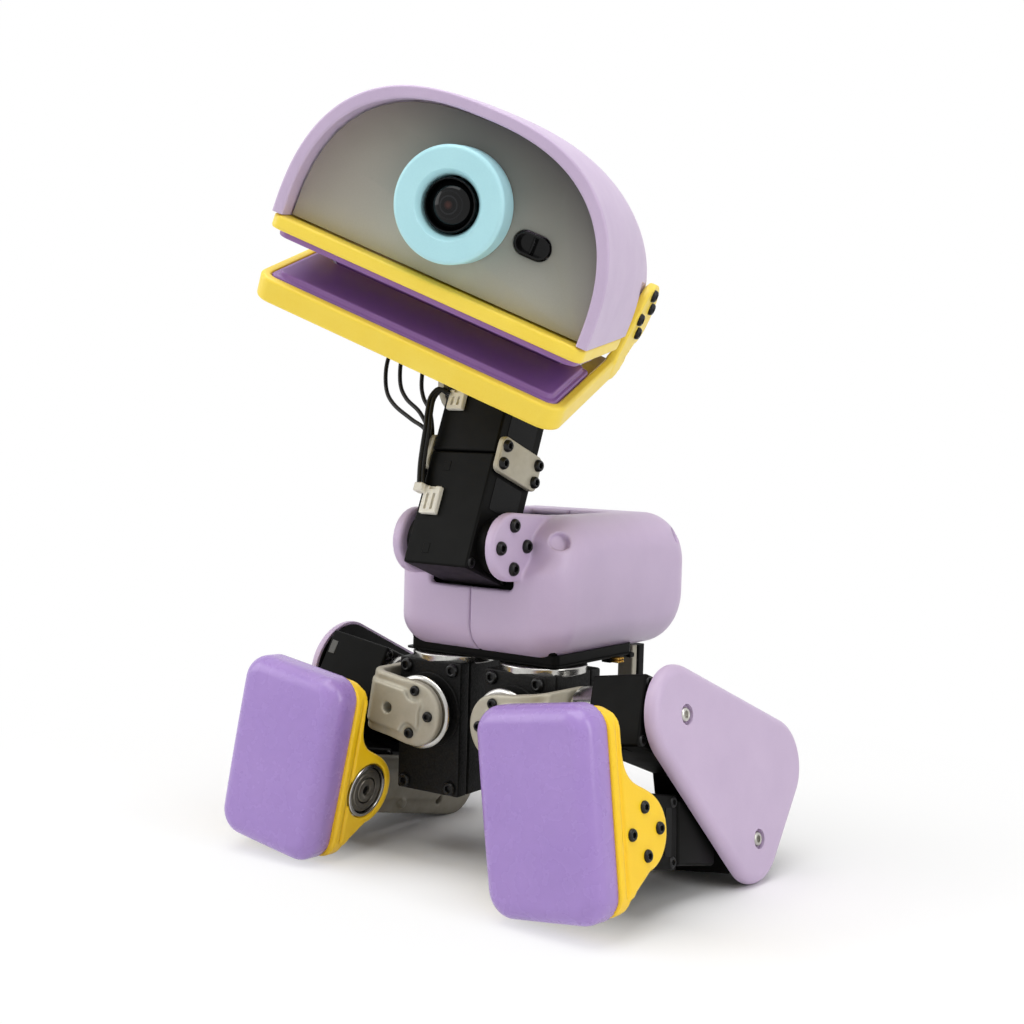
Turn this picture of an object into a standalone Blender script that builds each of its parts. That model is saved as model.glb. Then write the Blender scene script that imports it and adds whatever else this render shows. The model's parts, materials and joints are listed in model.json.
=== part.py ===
"""Small seated robot: two folded legs, a servo neck and a one-eyed head with a hinged jaw.

Each piece is its own object, hung on the empty of the joint that carries it. Lengths are in
millimetres and angles in degrees; meshes and places are turned into metres as they are made.
The robot looks along -Y, its left side is +X and it sits on the plane z = 0.
"""
import math

import bmesh
import bpy
from mathutils import Matrix, Vector

MM = 0.001

# Fits
GAP = 0.3
RUN_GAP = 0.7
SWING_GAP = 1.0

# Standard servo, its horn axis near one end of the case
SERVO_WIDTH = 20.0
SERVO_LENGTH = 34.0
SERVO_DEPTH = 23.0
SERVO_AXIS = 9.5
HORN_RADIUS = 8.0
HORN_DEPTH = 3.0
SERVO_EDGE = 0.8

# Compact servo, its horn axis in the middle of a square case
COMPACT_WIDTH = 18.0
COMPACT_DEPTH = 23.0
COMPACT_HORN_RADIUS = 6.0
COMPACT_HORN_DEPTH = 2.7

# Torso
TORSO_HALF_WIDTH = 31.0
TORSO_FRONT = -23.7
TORSO_REAR = 52.5
TORSO_HEIGHT = 42.3
TORSO_CORNER = 11.0
TORSO_EDGE = 7.0
TORSO_WALL = 2.0
FLOOR_RIM = 4.0
FLOOR_CORNER = 2.0
SLOT_FLOOR_DROP = 12.8
SLOT_REAR = 26.0
EAR_RADIUS = 9.7
EAR_THICKNESS = 3.2
EAR_ROOT_BACK = 9.0
EAR_ROOT_STEP = 1.5
BOARD_THICKNESS = 1.6
BOARD_REAR = 45.0
BOARD_CORNER = 2.3
SHELL_BELOW_BOARD = 2.4
BATTERY_SIZE = (38.0, 24.0, 22.0)
BATTERY_REAR_GAP = 4.0
BATTERY_EDGE = 2.0
POST_PLACE = (19.0, 35.0)
POST_RADIUS = 3.4
POST_LENGTH = 10.0
POST_EDGE = 0.5

# Neck
NECK_PIVOT_Y = -27.8
NECK_PIVOT_Z = 95.8
NECK_LEAN = 20.5
NECK_PLATE_HEIGHT = 10.6
NECK_PLATE_THICKNESS = 1.9
NECK_PLATE_CORNER = 1.6
NECK_PLATE_EDGE = 0.4
LEAD_DIAMETER = 1.3
PLUG_LEAD_DIAMETER = 2.6

# Head gimbal
YOKE_TILT = 9.2
HEAD_YAW = 19.35
HEAD_ROLL = 26.26
YOKE_PLATE = 2.2
YOKE_RADIUS = 9.0
YOKE_HALF_DEPTH = 6.5
SWIVEL_PLATE = 2.2
SWIVEL_CORNER = 3.0
ROLL_SERVO_REAR = 10.0
ROLL_AXIS_OFF_MIDDLE = 4.81
ROLL_AHEAD_OF_HINGE = 22.2
EYE_BELOW_ROLL = 1.02
BRACKET_PLATE = 2.5
BRACKET_MARGIN = 4.0
BRACKET_TAB = 10.0

# Head shell, measured from the eye
HEAD_BASE = 20.5
HEAD_FRONT = 3.4
HEAD_DEPTH = 82.0
HEAD_HALF_WIDTH = 47.5
HEAD_HEIGHT = 47.0
HEAD_TAPER = 3.0
HEAD_WALL = 3.2
HEAD_ROUNDNESS = 2.55
HEAD_SIDE_ROUNDNESS = 5.0
HEAD_TOP_ROUNDNESS = 3.4
FACE_RECESS = 5.1
FACE_THICKNESS = 2.0
EYE_RADIUS = 15.3
EYE_BORE = 8.8
EYE_EDGE = 0.7
EYE_BEVEL = 2.6
BARREL_RADIUS = 7.2
BARREL_LENGTH = 14.0
BARREL_FRONT = 1.4
BARREL_RIM = 2.6
BARREL_EDGE = 0.6
LENS_DEPTH = 2.2
LENS_CROWN = 0.8
CAMERA_BOARD = 25.0
CAMERA_BOARD_CORNER = 2.0
SENSOR_SIDE = 22.7
SENSOR_DROP = 2.0
SENSOR_LENGTH = 10.2
SENSOR_HEIGHT = 6.1
SENSOR_PROUD = 0.8
SENSOR_DEPTH = 6.0
SENSOR_EDGE = 0.3

# Upper jaw and palate
UPPER_JAW_HEIGHT = 3.9
UPPER_JAW_CLEAR = 2.0
THROAT_AHEAD_OF_ROLL = 15.9
UPPER_JAW_SIDE = 9.5
UPPER_JAW_CORNER = 3.0
UPPER_JAW_EDGE = 0.5
LIP_HALF_WIDTH = 25.0
LIP_DROP = 6.0
LIP_THICKNESS = 2.0
PALATE_THICKNESS = 1.5
PALATE_INSET = 2.0
PALATE_CORNER = 4.0
PALATE_EDGE = 0.4

# Lower jaw, measured from its hinge
HINGE_FROM_REAR = 15.9
HINGE_BELOW_EYE = 15.2
JAW_OPEN = 12.3
JAW_SERVO_SIDE = 26.75
JAW_HALF_WIDTH = 47.2
JAW_WALL = 2.8
JAW_SETBACK = 1.1
JAW_BOTTOM = 15.8
JAW_WALL_HEIGHT = 7.0
JAW_FLOOR = 2.2
JAW_FLOOR_STOP = 35.4
JAW_CORNER = 5.0
JAW_EDGE = 1.0
JAW_BOSS = 9.5
JAW_ARM_WIDTH = 8.0
NOTCH_HALF_WIDTH = 37.0
NOTCH_DEPTH = 7.6
TONGUE_STEP = 2.6
TONGUE_PROUD = 1.5
TONGUE_EDGE = 0.6

# Hips
HIP_SIDE = 16.5
HIP_AXIS_Y = -9.1
HIP_ROLL_AXIS_Z = 44.5
HOUSING_HALF_WIDTH = 11.4
HOUSING_FRONT = 13.0
HOUSING_DEPTH = 26.0
HOUSING_BOTTOM = 25.1
HOUSING_TOP = 15.1
HIP_DISC_RADIUS = 11.0
HIP_DISC_THICKNESS = 1.4
HIP_DISC_EDGE = 0.3
ROLL_BOSS_DEPTH = 2.0
ROLL_RING_RADIUS = 10.9
ROLL_RING_DEPTH = 3.1
ROLL_RING_EDGE = 0.4
BRACKET_THICKNESS = 2.6
BRACKET_HALF_HEIGHT = 9.8
BRACKET_INNER = 15.5
HIP_YAW = -2.8
LEG_SPREAD = 9.0

# Legs, in the plane of the folded leg: rearward and upward
HIP_PITCH_AXIS = (-3.2, 0.05)
KNEE_FROM_HIP = (35.7, -38.3)
COVER_FRONT_FROM_HIP = (4.0, 0.0)
COVER_TOP_FROM_HIP = (52.5, -21.2)
ANKLE_FROM_KNEE = (-57.7, 12.1)
COVER_RADIUS = 14.1
COVER_THICKNESS = 2.6
COVER_EDGE = 0.8
FRAME_PLATE = 1.4
FRAME_INSET = 1.6
SHIN_PLATE = 2.5
SHIN_RADIUS = 8.8
ANKLE_PIN_RADIUS = 2.6
ANKLE_BOSS_RADIUS = 6.0
SHIN_BRACKET_HALF_HEIGHT = 9.0

# Feet, measured from the ankle
SOLE_TILT = -2.8
FOOT_INNER = 9.0
FOOT_ARM = 2.7
FOOT_BOSS = 10.0
FLANGE_REACH = 11.1
FLANGE_THICKNESS = 3.5
FLANGE_TOP = 33.0
FLANGE_BOTTOM = 20.3
FLANGE_CORNER = 6.0
ARM_ROOT_TOP = 15.0
ARM_ROOT_BOTTOM = 15.5
BEARING_RADIUS = 8.0
BEARING_WIDTH = 2.6
BEARING_EDGE = 0.3
PAD_MIDDLE_SIDE = 28.9
PAD_MIDDLE_UP = 6.05
PAD_WIDTH = 38.5
PAD_LENGTH = 56.4
PAD_THICKNESS = 9.7
PAD_CORNER = 7.0
PAD_EDGE = 4.5

# Distances that follow from the sizes above
EAR_INNER = SERVO_DEPTH / 2 + HORN_DEPTH + RUN_GAP
NECK_LENGTH = 2 * (SERVO_LENGTH - SERVO_AXIS) + GAP
SERVO_SWEEP = math.hypot(SERVO_AXIS, SERVO_WIDTH / 2)
YOKE_BRIDGE = SERVO_SWEEP + RUN_GAP
YAW_CASE_BOTTOM = YOKE_BRIDGE + YOKE_PLATE + GAP
SWIVEL_HEIGHT = YAW_CASE_BOTTOM + COMPACT_DEPTH + COMPACT_HORN_DEPTH + GAP
ROLL_HEIGHT = SWIVEL_PLATE + GAP + COMPACT_WIDTH / 2
HINGE_BEHIND_EYE = HEAD_FRONT + HEAD_DEPTH - HINGE_FROM_REAR
EYE_AHEAD_OF_ROLL = HINGE_BEHIND_EYE - ROLL_AHEAD_OF_HINGE
UPPER_JAW_BAR = EYE_AHEAD_OF_ROLL - THROAT_AHEAD_OF_ROLL - HEAD_FRONT
JAW_REACH = HINGE_BEHIND_EYE - JAW_SETBACK
JAW_FLOOR_DEPTH = JAW_REACH - JAW_FLOOR_STOP
UPPER_JAW_REAR = HINGE_BEHIND_EYE - JAW_BOSS - JAW_ARM_WIDTH - UPPER_JAW_CLEAR
HIP_TOP_Z = HIP_ROLL_AXIS_Z + HOUSING_TOP + GAP
HIP_HORN_FACE_Z = HIP_TOP_Z + HIP_DISC_THICKNESS + GAP
BOARD_TOP_Z = HIP_HORN_FACE_Z + HORN_DEPTH - GAP
TORSO_BOTTOM = BOARD_TOP_Z - SHELL_BELOW_BOARD
BOARD_HALF_WIDTH = TORSO_HALF_WIDTH - FLOOR_RIM - GAP
BOARD_FRONT = TORSO_FRONT + FLOOR_RIM + GAP
TORSO_TOP = TORSO_BOTTOM + TORSO_HEIGHT
HORN_FACE = BRACKET_INNER + BRACKET_THICKNESS + GAP
CASE_INNER = HORN_FACE + HORN_DEPTH
CASE_OUTER = CASE_INNER + SERVO_DEPTH
FRAME_INNER = CASE_OUTER + GAP
COVER_INNER = FRAME_INNER + FRAME_PLATE + GAP
ANKLE_HORN_FACE = CASE_OUTER + HORN_DEPTH
FOOT_OUTER_INNER = ANKLE_HORN_FACE + GAP
FOOT_OUTER = FOOT_OUTER_INNER + FOOT_ARM
SEAT_SHIFT = (0.0, 11.6)

# Materials: colour, roughness, metallic
MATERIALS = {
    "lilac": ((0.56, 0.46, 0.64), 0.45, 0.0),
    "yellow": ((0.90, 0.62, 0.05), 0.40, 0.0),
    "purple_rubber": ((0.38, 0.26, 0.58), 0.60, 0.0),
    "plum": ((0.20, 0.10, 0.29), 0.55, 0.0),
    "cyan": ((0.44, 0.76, 0.82), 0.35, 0.0),
    "smoked": ((0.26, 0.25, 0.22), 0.50, 0.0),
    "cream": ((0.48, 0.43, 0.36), 0.55, 0.0),
    "black": ((0.011, 0.011, 0.010), 0.50, 0.0),
    "board": ((0.012, 0.014, 0.013), 0.45, 0.0),
    "cell": ((0.05, 0.08, 0.16), 0.45, 0.0),
    "steel": ((0.60, 0.60, 0.58), 0.28, 1.0),
    "lens": ((0.010, 0.011, 0.013), 0.12, 0.0),
}


def clear_scene():
    """Removes whatever the open file already holds."""
    for item in list(bpy.data.objects):
        bpy.data.objects.remove(item, do_unlink=True)


def material(name):
    """Principled material of one of the named finishes."""
    found = bpy.data.materials.get(name)
    if found:
        return found
    colour, roughness, metallic = MATERIALS[name]
    made = bpy.data.materials.new(name)
    made.use_nodes = True
    shader = made.node_tree.nodes["Principled BSDF"]
    shader.inputs["Base Color"].default_value = (*colour, 1.0)
    shader.inputs["Roughness"].default_value = roughness
    shader.inputs["Metallic"].default_value = metallic
    made.diffuse_color = (*colour, 1.0)
    return made


def joint_frame(name, parent, place, turn=(0.0, 0.0, 0.0)):
    """Empty on a joint's axis, in its parent's frame."""
    empty = bpy.data.objects.new(name, None)
    bpy.context.scene.collection.objects.link(empty)
    empty.parent = parent
    empty.location = Vector(place) * MM
    empty.rotation_euler = [math.radians(angle) for angle in turn]
    empty.empty_display_size = 0.01
    return empty


def piece(name, shape, parent, finish):
    """Turns a mesh under construction into a named piece on a joint frame."""
    bmesh.ops.scale(shape, vec=(MM, MM, MM), verts=shape.verts)
    mesh = bpy.data.meshes.new(name)
    shape.to_mesh(mesh)
    shape.free()
    mesh.materials.append(material(finish))
    mesh.shade_smooth()
    mesh.set_sharp_from_angle(angle=math.radians(32))
    made = bpy.data.objects.new(name, mesh)
    bpy.context.scene.collection.objects.link(made)
    made.parent = parent
    return made


def circle(centre, radius, count=24):
    """Points round a circle in a plane."""
    angles = [2 * math.pi * index / count for index in range(count)]
    return [(centre[0] + radius * math.cos(a), centre[1] + radius * math.sin(a)) for a in angles]


def hull(points):
    """Convex outline round points in a plane, counter-clockwise."""
    ordered = sorted(set((round(x, 5), round(y, 5)) for x, y in points))

    def half(sequence):
        chain = []
        for point in sequence:
            while len(chain) > 1:
                first, second = chain[-2], chain[-1]
                turn = (second[0] - first[0]) * (point[1] - first[1])
                turn -= (second[1] - first[1]) * (point[0] - first[0])
                if turn > 1e-6:
                    break
                chain.pop()
            chain.append(point)
        return chain[:-1]

    return half(ordered) + half(reversed(ordered))


def rounded_rectangle(low, high, radius, count=24):
    """Rectangle outline with round corners."""
    points = []
    for x in (low[0] + radius, high[0] - radius):
        for y in (low[1] + radius, high[1] - radius):
            points += circle((x, y), radius, count)
    return hull(points)


def along(axis, point, depth):
    """Space point from a point in the plane across an axis and a place along that axis."""
    if axis == "x":
        return Vector((depth, point[0], point[1]))
    if axis == "y":
        return Vector((point[0], depth, point[1]))
    return Vector((point[0], point[1], depth))


def prism(outline, axis, low, high, low_edge=0.0, high_edge=0.0, steps=2):
    """Outline extruded along an axis, with either end's edge rounded."""
    shape = bmesh.new()
    ends = []
    for depth in (low, high):
        ends.append([shape.verts.new(along(axis, point, depth)) for point in outline])
    caps = [shape.faces.new(ends[0]), shape.faces.new(ends[1])]
    count = len(outline)
    for index in range(count):
        after = (index + 1) % count
        shape.faces.new((ends[0][index], ends[0][after], ends[1][after], ends[1][index]))
    bmesh.ops.recalc_face_normals(shape, faces=shape.faces)
    for cap, width in zip(caps, (low_edge, high_edge)):
        if width > 0:
            bmesh.ops.bevel(shape, geom=list(cap.edges), offset=width, segments=steps, profile=0.5,
                            affect="EDGES", clamp_overlap=True)
    return shape


def block(low, high, edge=0.0, steps=1):
    """Box between two corners, with its edges rounded."""
    shape = bmesh.new()
    bmesh.ops.create_cube(shape, size=1.0)
    size = Vector(high) - Vector(low)
    bmesh.ops.scale(shape, vec=size, verts=shape.verts)
    bmesh.ops.translate(shape, vec=(Vector(high) + Vector(low)) / 2, verts=shape.verts)
    if edge > 0:
        bmesh.ops.bevel(shape, geom=list(shape.edges), offset=edge, segments=steps, profile=0.5,
                        affect="EDGES", clamp_overlap=True)
    return shape


def disc(axis, centre, radius, low, high, edge=0.0, count=28):
    """Round plate or shaft along an axis."""
    return prism(circle(centre, radius, count), axis, low, high, edge, edge, 1)


def turned(profile, count=40):
    """Closed profile of radius and depth spun round the Y axis."""
    shape = bmesh.new()
    rings = []
    for index in range(count):
        angle = 2 * math.pi * index / count
        spin = (math.cos(angle), math.sin(angle))
        rings.append([shape.verts.new((r * spin[0], y, r * spin[1])) for r, y in profile])
    for index in range(count):
        here, there = rings[index], rings[(index + 1) % count]
        for step in range(len(profile)):
            after = (step + 1) % len(profile)
            shape.faces.new((here[step], here[after], there[after], there[step]))
    bmesh.ops.remove_doubles(shape, verts=shape.verts, dist=1e-5)
    bmesh.ops.recalc_face_normals(shape, faces=shape.faces)
    return shape


def scratch_object(shape):
    """Short-lived object that carries a shape through a Boolean."""
    mesh = bpy.data.meshes.new("scratch")
    shape.to_mesh(mesh)
    shape.free()
    made = bpy.data.objects.new("scratch", mesh)
    bpy.context.scene.collection.objects.link(made)
    return made


def combine(body, tool, operation):
    """Joins or cuts one shape with another."""
    first = scratch_object(body)
    second = scratch_object(tool)
    step = first.modifiers.new("combine", "BOOLEAN")
    step.operation = operation
    step.object = second
    step.solver = "EXACT"
    first_now = first.evaluated_get(bpy.context.evaluated_depsgraph_get())
    mesh = bpy.data.meshes.new_from_object(first_now)
    result = bmesh.new()
    result.from_mesh(mesh)
    bmesh.ops.remove_doubles(result, verts=result.verts, dist=1e-4)
    bmesh.ops.dissolve_degenerate(result, dist=1e-4, edges=result.edges)
    for item in (first, second):
        data = item.data
        bpy.data.objects.remove(item, do_unlink=True)
        bpy.data.meshes.remove(data)
    bpy.data.meshes.remove(mesh)
    return result


def join(body, *others):
    """One body from several overlapping shapes."""
    for other in others:
        body = combine(body, other, "UNION")
    return body


def cut(body, *tools):
    """One body with shapes taken away."""
    for tool in tools:
        body = combine(body, tool, "DIFFERENCE")
    return body


def turn_to(shape, long_way, horn_way, place):
    """Turns a shape so that its +Y runs along one direction and its +Z along another."""
    ahead = Vector(long_way).normalized()
    axis = Vector(horn_way).normalized()
    side = ahead.cross(axis)
    spin = Matrix((side, ahead, axis)).transposed().to_4x4()
    bmesh.ops.transform(shape, matrix=Matrix.Translation(Vector(place)) @ spin, verts=shape.verts)
    return shape


def servo(long_way, horn_way, horn_face, idler=False):
    """Standard servo whose horn face is at a place, with the case behind it."""
    low = (-SERVO_WIDTH / 2, -SERVO_AXIS, -HORN_DEPTH - SERVO_DEPTH)
    high = (SERVO_WIDTH / 2, SERVO_LENGTH - SERVO_AXIS, -HORN_DEPTH)
    body = block(low, high, SERVO_EDGE)
    body = join(body, disc("z", (0, 0), HORN_RADIUS, -HORN_DEPTH - 1.0, 0.0))
    if idler:
        back = low[2]
        body = join(body, disc("z", (0, 0), HORN_RADIUS, back - HORN_DEPTH, back + 1.0))
    return turn_to(body, long_way, horn_way, horn_face)


def compact_servo(long_way, horn_way, horn_face, horn_depth=COMPACT_HORN_DEPTH):
    """Compact servo whose horn face is at a place, with the square case behind it."""
    half = COMPACT_WIDTH / 2
    low = (-half, -half, -horn_depth - COMPACT_DEPTH)
    body = block(low, (half, half, -horn_depth), SERVO_EDGE)
    body = join(body, disc("z", (0, 0), COMPACT_HORN_RADIUS, -horn_depth - 1.0, 0.0, count=24))
    return turn_to(body, long_way, horn_way, horn_face)


def mirrored(shape, side):
    """Shape of the robot's left side, or its mirror image for the right side."""
    if side < 0:
        bmesh.ops.scale(shape, vec=(-1.0, 1.0, 1.0), verts=shape.verts)
        bmesh.ops.reverse_faces(shape, faces=shape.faces)
    return shape


def smooth_route(points, per_span=2):
    """Points of a smooth curve through a route's own points."""
    route = [Vector(point) for point in points]
    padded = [2 * route[0] - route[1]] + route + [2 * route[-1] - route[-2]]
    curve = []
    for index in range(1, len(padded) - 2):
        p0, p1, p2, p3 = padded[index - 1:index + 3]
        for step in range(per_span):
            t = step / per_span
            bend = 2 * p0 - 5 * p1 + 4 * p2 - p3
            twist = 3 * p1 - 3 * p2 + p3 - p0
            curve.append(0.5 * (2 * p1 + (p2 - p0) * t + bend * t * t + twist * t ** 3))
    return curve + [route[-1]]


def lead(name, points, diameter, parent):
    """Round wire along a smooth route."""
    data = bpy.data.curves.new(name, "CURVE")
    data.dimensions = "3D"
    data.bevel_depth = diameter / 2 * MM
    data.bevel_resolution = 2
    data.use_fill_caps = True
    route = smooth_route(points)
    spline = data.splines.new("POLY")
    spline.points.add(len(route) - 1)
    for point, place in zip(spline.points, route):
        point.co = (*(place * MM), 1.0)
    data.materials.append(material("black"))
    made = bpy.data.objects.new(name, data)
    bpy.context.scene.collection.objects.link(made)
    made.parent = parent
    return made


def torso_outline(inset, corner):
    """Plan outline of the torso, drawn in by a wall."""
    low = (-TORSO_HALF_WIDTH + inset, TORSO_FRONT + inset)
    high = (TORSO_HALF_WIDTH - inset, TORSO_REAR - inset)
    return rounded_rectangle(low, high, corner, 24)


def torso_shell():
    """Whole torso shell with its ears, neck slot and open floor, before it is split."""
    outside = torso_outline(0.0, TORSO_CORNER)
    body = prism(outside, "z", TORSO_BOTTOM, TORSO_TOP, TORSO_EDGE, TORSO_EDGE, 3)
    ear_root = (TORSO_FRONT + EAR_ROOT_BACK, NECK_PIVOT_Z)
    ear_tip = circle((NECK_PIVOT_Y, NECK_PIVOT_Z), EAR_RADIUS)
    ear = hull(ear_tip + circle(ear_root, EAR_RADIUS - EAR_ROOT_STEP))
    for side in (1, -1):
        ends = sorted((side * EAR_INNER, side * (EAR_INNER + EAR_THICKNESS)))
        body = join(body, prism(ear, "x", *ends))
    inner_edge = TORSO_EDGE - TORSO_WALL
    inner = torso_outline(TORSO_WALL, TORSO_CORNER - TORSO_WALL)
    cavity = prism(inner, "z", TORSO_BOTTOM + TORSO_WALL, TORSO_TOP - TORSO_WALL, inner_edge, inner_edge, 3)
    opening = torso_outline(FLOOR_RIM, FLOOR_CORNER)
    floor = prism(opening, "z", TORSO_BOTTOM - 1, TORSO_BOTTOM + TORSO_EDGE)
    slot_floor = NECK_PIVOT_Z - SLOT_FLOOR_DROP
    slot_low = (-EAR_INNER, NECK_PIVOT_Y - EAR_RADIUS - 2, slot_floor)
    slot = block(slot_low, (EAR_INNER, SLOT_REAR, TORSO_TOP + 1))
    return cut(body, cavity, floor, slot)


def make_torso(frame):
    """Torso shells, board, battery, hip servos and rear post."""
    far = 200.0
    for name, side in (("body_shell_left", 1), ("body_shell_right", -1)):
        ends = sorted((-side * far, side * GAP / 2))
        other_half = block((ends[0], -far, -far), (ends[1], far, far))
        piece(name, cut(torso_shell(), other_half), frame, "lilac")
    board_low = (-BOARD_HALF_WIDTH, BOARD_FRONT)
    outline = rounded_rectangle(board_low, (BOARD_HALF_WIDTH, BOARD_REAR), BOARD_CORNER)
    board = prism(outline, "z", BOARD_TOP_Z - BOARD_THICKNESS, BOARD_TOP_Z)
    for side in (1, -1):
        hole = disc("z", (side * HIP_SIDE, HIP_AXIS_Y), HORN_RADIUS + SWING_GAP, 0, TORSO_TOP)
        board = cut(board, hole)
    piece("base_board", board, frame, "board")
    for name, side in (("hip_yaw_servo_left", 1), ("hip_yaw_servo_right", -1)):
        horn_face = (side * HIP_SIDE, HIP_AXIS_Y, HIP_HORN_FACE_Z)
        piece(name, servo((0, 1, 0), (0, 0, -1), horn_face), frame, "black")
    width, depth, height = BATTERY_SIZE
    rear = TORSO_REAR - TORSO_WALL - BATTERY_REAR_GAP
    battery = block((-width / 2, rear - depth, BOARD_TOP_Z + GAP),
                    (width / 2, rear, BOARD_TOP_Z + GAP + height), BATTERY_EDGE, 2)
    piece("battery_pack", battery, frame, "cell")
    top = BOARD_TOP_Z - BOARD_THICKNESS - GAP
    post = disc("z", POST_PLACE, POST_RADIUS, top - POST_LENGTH, top, POST_EDGE, 24)
    piece("tail_post", post, frame, "black")


def make_neck(frame):
    """Two servos end to end, tied by a plate on each side, and the leads on the right side."""
    face = SERVO_DEPTH / 2 + HORN_DEPTH
    low_servo = servo((0, 0, 1), (1, 0, 0), (face, 0, 0), idler=True)
    piece("neck_pitch_servo", low_servo, frame, "black")
    high_servo = servo((0, 0, -1), (1, 0, 0), (face, 0, NECK_LENGTH), idler=True)
    piece("head_pitch_servo", high_servo, frame, "black")
    middle = NECK_LENGTH / 2
    half = SERVO_WIDTH / 2
    outline = rounded_rectangle((-half, middle - NECK_PLATE_HEIGHT / 2),
                                (half, middle + NECK_PLATE_HEIGHT / 2), NECK_PLATE_CORNER, 16)
    inner = SERVO_DEPTH / 2 + GAP
    for name, side in (("neck_plate_left", 1), ("neck_plate_right", -1)):
        ends = sorted((side * inner, side * (inner + NECK_PLATE_THICKNESS)))
        plate = prism(outline, "x", *ends, NECK_PLATE_EDGE, NECK_PLATE_EDGE, 1)
        piece(name, plate, frame, "cream")


def make_leads(frame):
    """Three leads that loop from the yaw servo to the neck, and the lead of the upper plug."""
    plate_face = SERVO_DEPTH / 2 + GAP + NECK_PLATE_THICKNESS
    run = -(plate_face + GAP + LEAD_DIAMETER / 2 + 0.2)
    case = -(SERVO_DEPTH / 2 + GAP + LEAD_DIAMETER / 2)
    loops = ((22.4, 33.2, 73.5), (18.7, 36.0, 76.6), (11.0, 37.0, 78.2))
    for index, (bulge, low, top) in enumerate(loops):
        front = -11.2 + 1.7 * index
        climb = [
            (run - 0.3 * bulge, low + 0.4),
            (run - 0.66 * bulge, low + 4.8),
            (run - 0.88 * bulge, low + 9.8),
            (run - bulge, low + 18.0),
            (run - 0.95 * bulge, top - 15.0),
            (run - 0.7 * bulge, top - 7.0),
            (run - 0.1 * bulge, top - 1.0),
            (-COMPACT_WIDTH / 2 - 2.8, top),
        ]
        loop = [(case, front + 7.0, 10.8), (run + 0.4, front + 4.0, 16.0), (run, front + 1.0, 24.0)]
        loop += [(run, front, 30.0)] + [(x, front, z) for x, z in climb]
        lead("head_lead_%d" % (index + 1), loop, LEAD_DIAMETER, frame)
    ahead = -(SERVO_WIDTH / 2 + GAP + PLUG_LEAD_DIAMETER / 2)
    plug = [
        (-9.4, ahead - 0.3, 41.6),
        (-11.6, ahead - 1.6, 42.2),
        (-13.3, ahead - 2.1, 39.2),
        (-13.0, ahead - 2.1, 34.5),
        (-12.4, ahead - 1.8, 29.8),
        (-12.4, ahead - 1.0, 24.5),
        (-12.0, ahead - 0.4, 19.0),
        (-10.6, ahead - 0.2, 13.0),
    ]
    lead("plug_lead", plug, PLUG_LEAD_DIAMETER, frame)


def make_yoke(frame):
    """Fork on the upper neck servo, and the yaw servo on its bridge."""
    outer = EAR_INNER + YOKE_PLATE
    bridge_top = YOKE_BRIDGE + YOKE_PLATE
    corners = [(-YOKE_HALF_DEPTH, bridge_top), (YOKE_HALF_DEPTH, bridge_top)]
    outline = hull(circle((0, 0), YOKE_RADIUS) + corners)
    body = block((-outer, -YOKE_HALF_DEPTH, YOKE_BRIDGE), (outer, YOKE_HALF_DEPTH, bridge_top))
    body = join(body, prism(outline, "x", EAR_INNER, outer), prism(outline, "x", -outer, -EAR_INNER))
    piece("head_yoke", body, frame, "cream")
    horn_face = (0, 0, SWIVEL_HEIGHT - GAP)
    piece("head_yaw_servo", compact_servo((0, 1, 0), (0, 0, 1), horn_face), frame, "black")


def make_swivel(frame):
    """Plate on the yaw horn and the roll servo that stands on it."""
    half = COMPACT_WIDTH / 2
    outline = rounded_rectangle((-half, -half), (half, half), SWIVEL_CORNER, 16)
    piece("head_swivel", prism(outline, "z", 0, SWIVEL_PLATE), frame, "steel")
    front = ROLL_SERVO_REAR - COMPACT_DEPTH - COMPACT_HORN_DEPTH
    roll_servo = compact_servo((0, 0, 1), (0, -1, 0), (0, front, ROLL_HEIGHT))
    piece("head_roll_servo", roll_servo, frame, "black")


def head_section(share, inset):
    """Half-width and height of the head shell at a share of its depth, drawn in by a wall."""
    taper = (1 - share ** HEAD_SIDE_ROUNDNESS) ** (1 / HEAD_SIDE_ROUNDNESS)
    sink = (1 - share ** HEAD_TOP_ROUNDNESS) ** (1 / HEAD_TOP_ROUNDNESS)
    half_width = (HEAD_HALF_WIDTH - HEAD_TAPER * share - inset) * taper
    return half_width, (HEAD_HEIGHT - inset) * sink


def head_arch(share, inset, count=24):
    """Arch outline of the head shell, from the robot's left side over the top."""
    half_width, height = head_section(share, inset)
    power = 2 / HEAD_ROUNDNESS
    points = []
    for index in range(count + 1):
        angle = math.pi * index / count
        c, s = math.cos(angle), math.sin(angle)
        x = math.copysign(half_width * abs(c) ** power, c)
        points.append((x, -HEAD_BASE + height * abs(s) ** power))
    return points


def head_shell():
    """Hood of even wall, open at the front and below and rounded at the rear."""
    shape = bmesh.new()
    steps = 11
    shares = [math.sin(0.5 * math.pi * index / steps) ** 0.9 for index in range(steps)] + [0.996]
    grids = []
    for inset in (0.0, HEAD_WALL):
        rings = []
        for share in shares:
            y = HEAD_FRONT + (HEAD_DEPTH - inset) * share
            arch = head_arch(share, inset)
            rings.append([shape.verts.new((x, y, z)) for x, z in arch])
        grids.append(rings)
    for rings in grids:
        for here, there in zip(rings, rings[1:]):
            for index in range(len(here) - 1):
                shape.faces.new((here[index], here[index + 1], there[index + 1], there[index]))
        shape.faces.new(rings[-1])
    outer, inner = grids
    for index in range(len(outer[0]) - 1):
        rim = (outer[0][index], outer[0][index + 1], inner[0][index + 1], inner[0][index])
        shape.faces.new(rim)
    for end in (0, -1):
        for row in range(len(outer) - 1):
            shape.faces.new((outer[row][end], outer[row + 1][end], inner[row + 1][end], inner[row][end]))
    shape.faces.new((outer[-1][0], outer[-1][-1], inner[-1][-1], inner[-1][0]))
    bmesh.ops.recalc_face_normals(shape, faces=shape.faces)
    return shape


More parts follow.
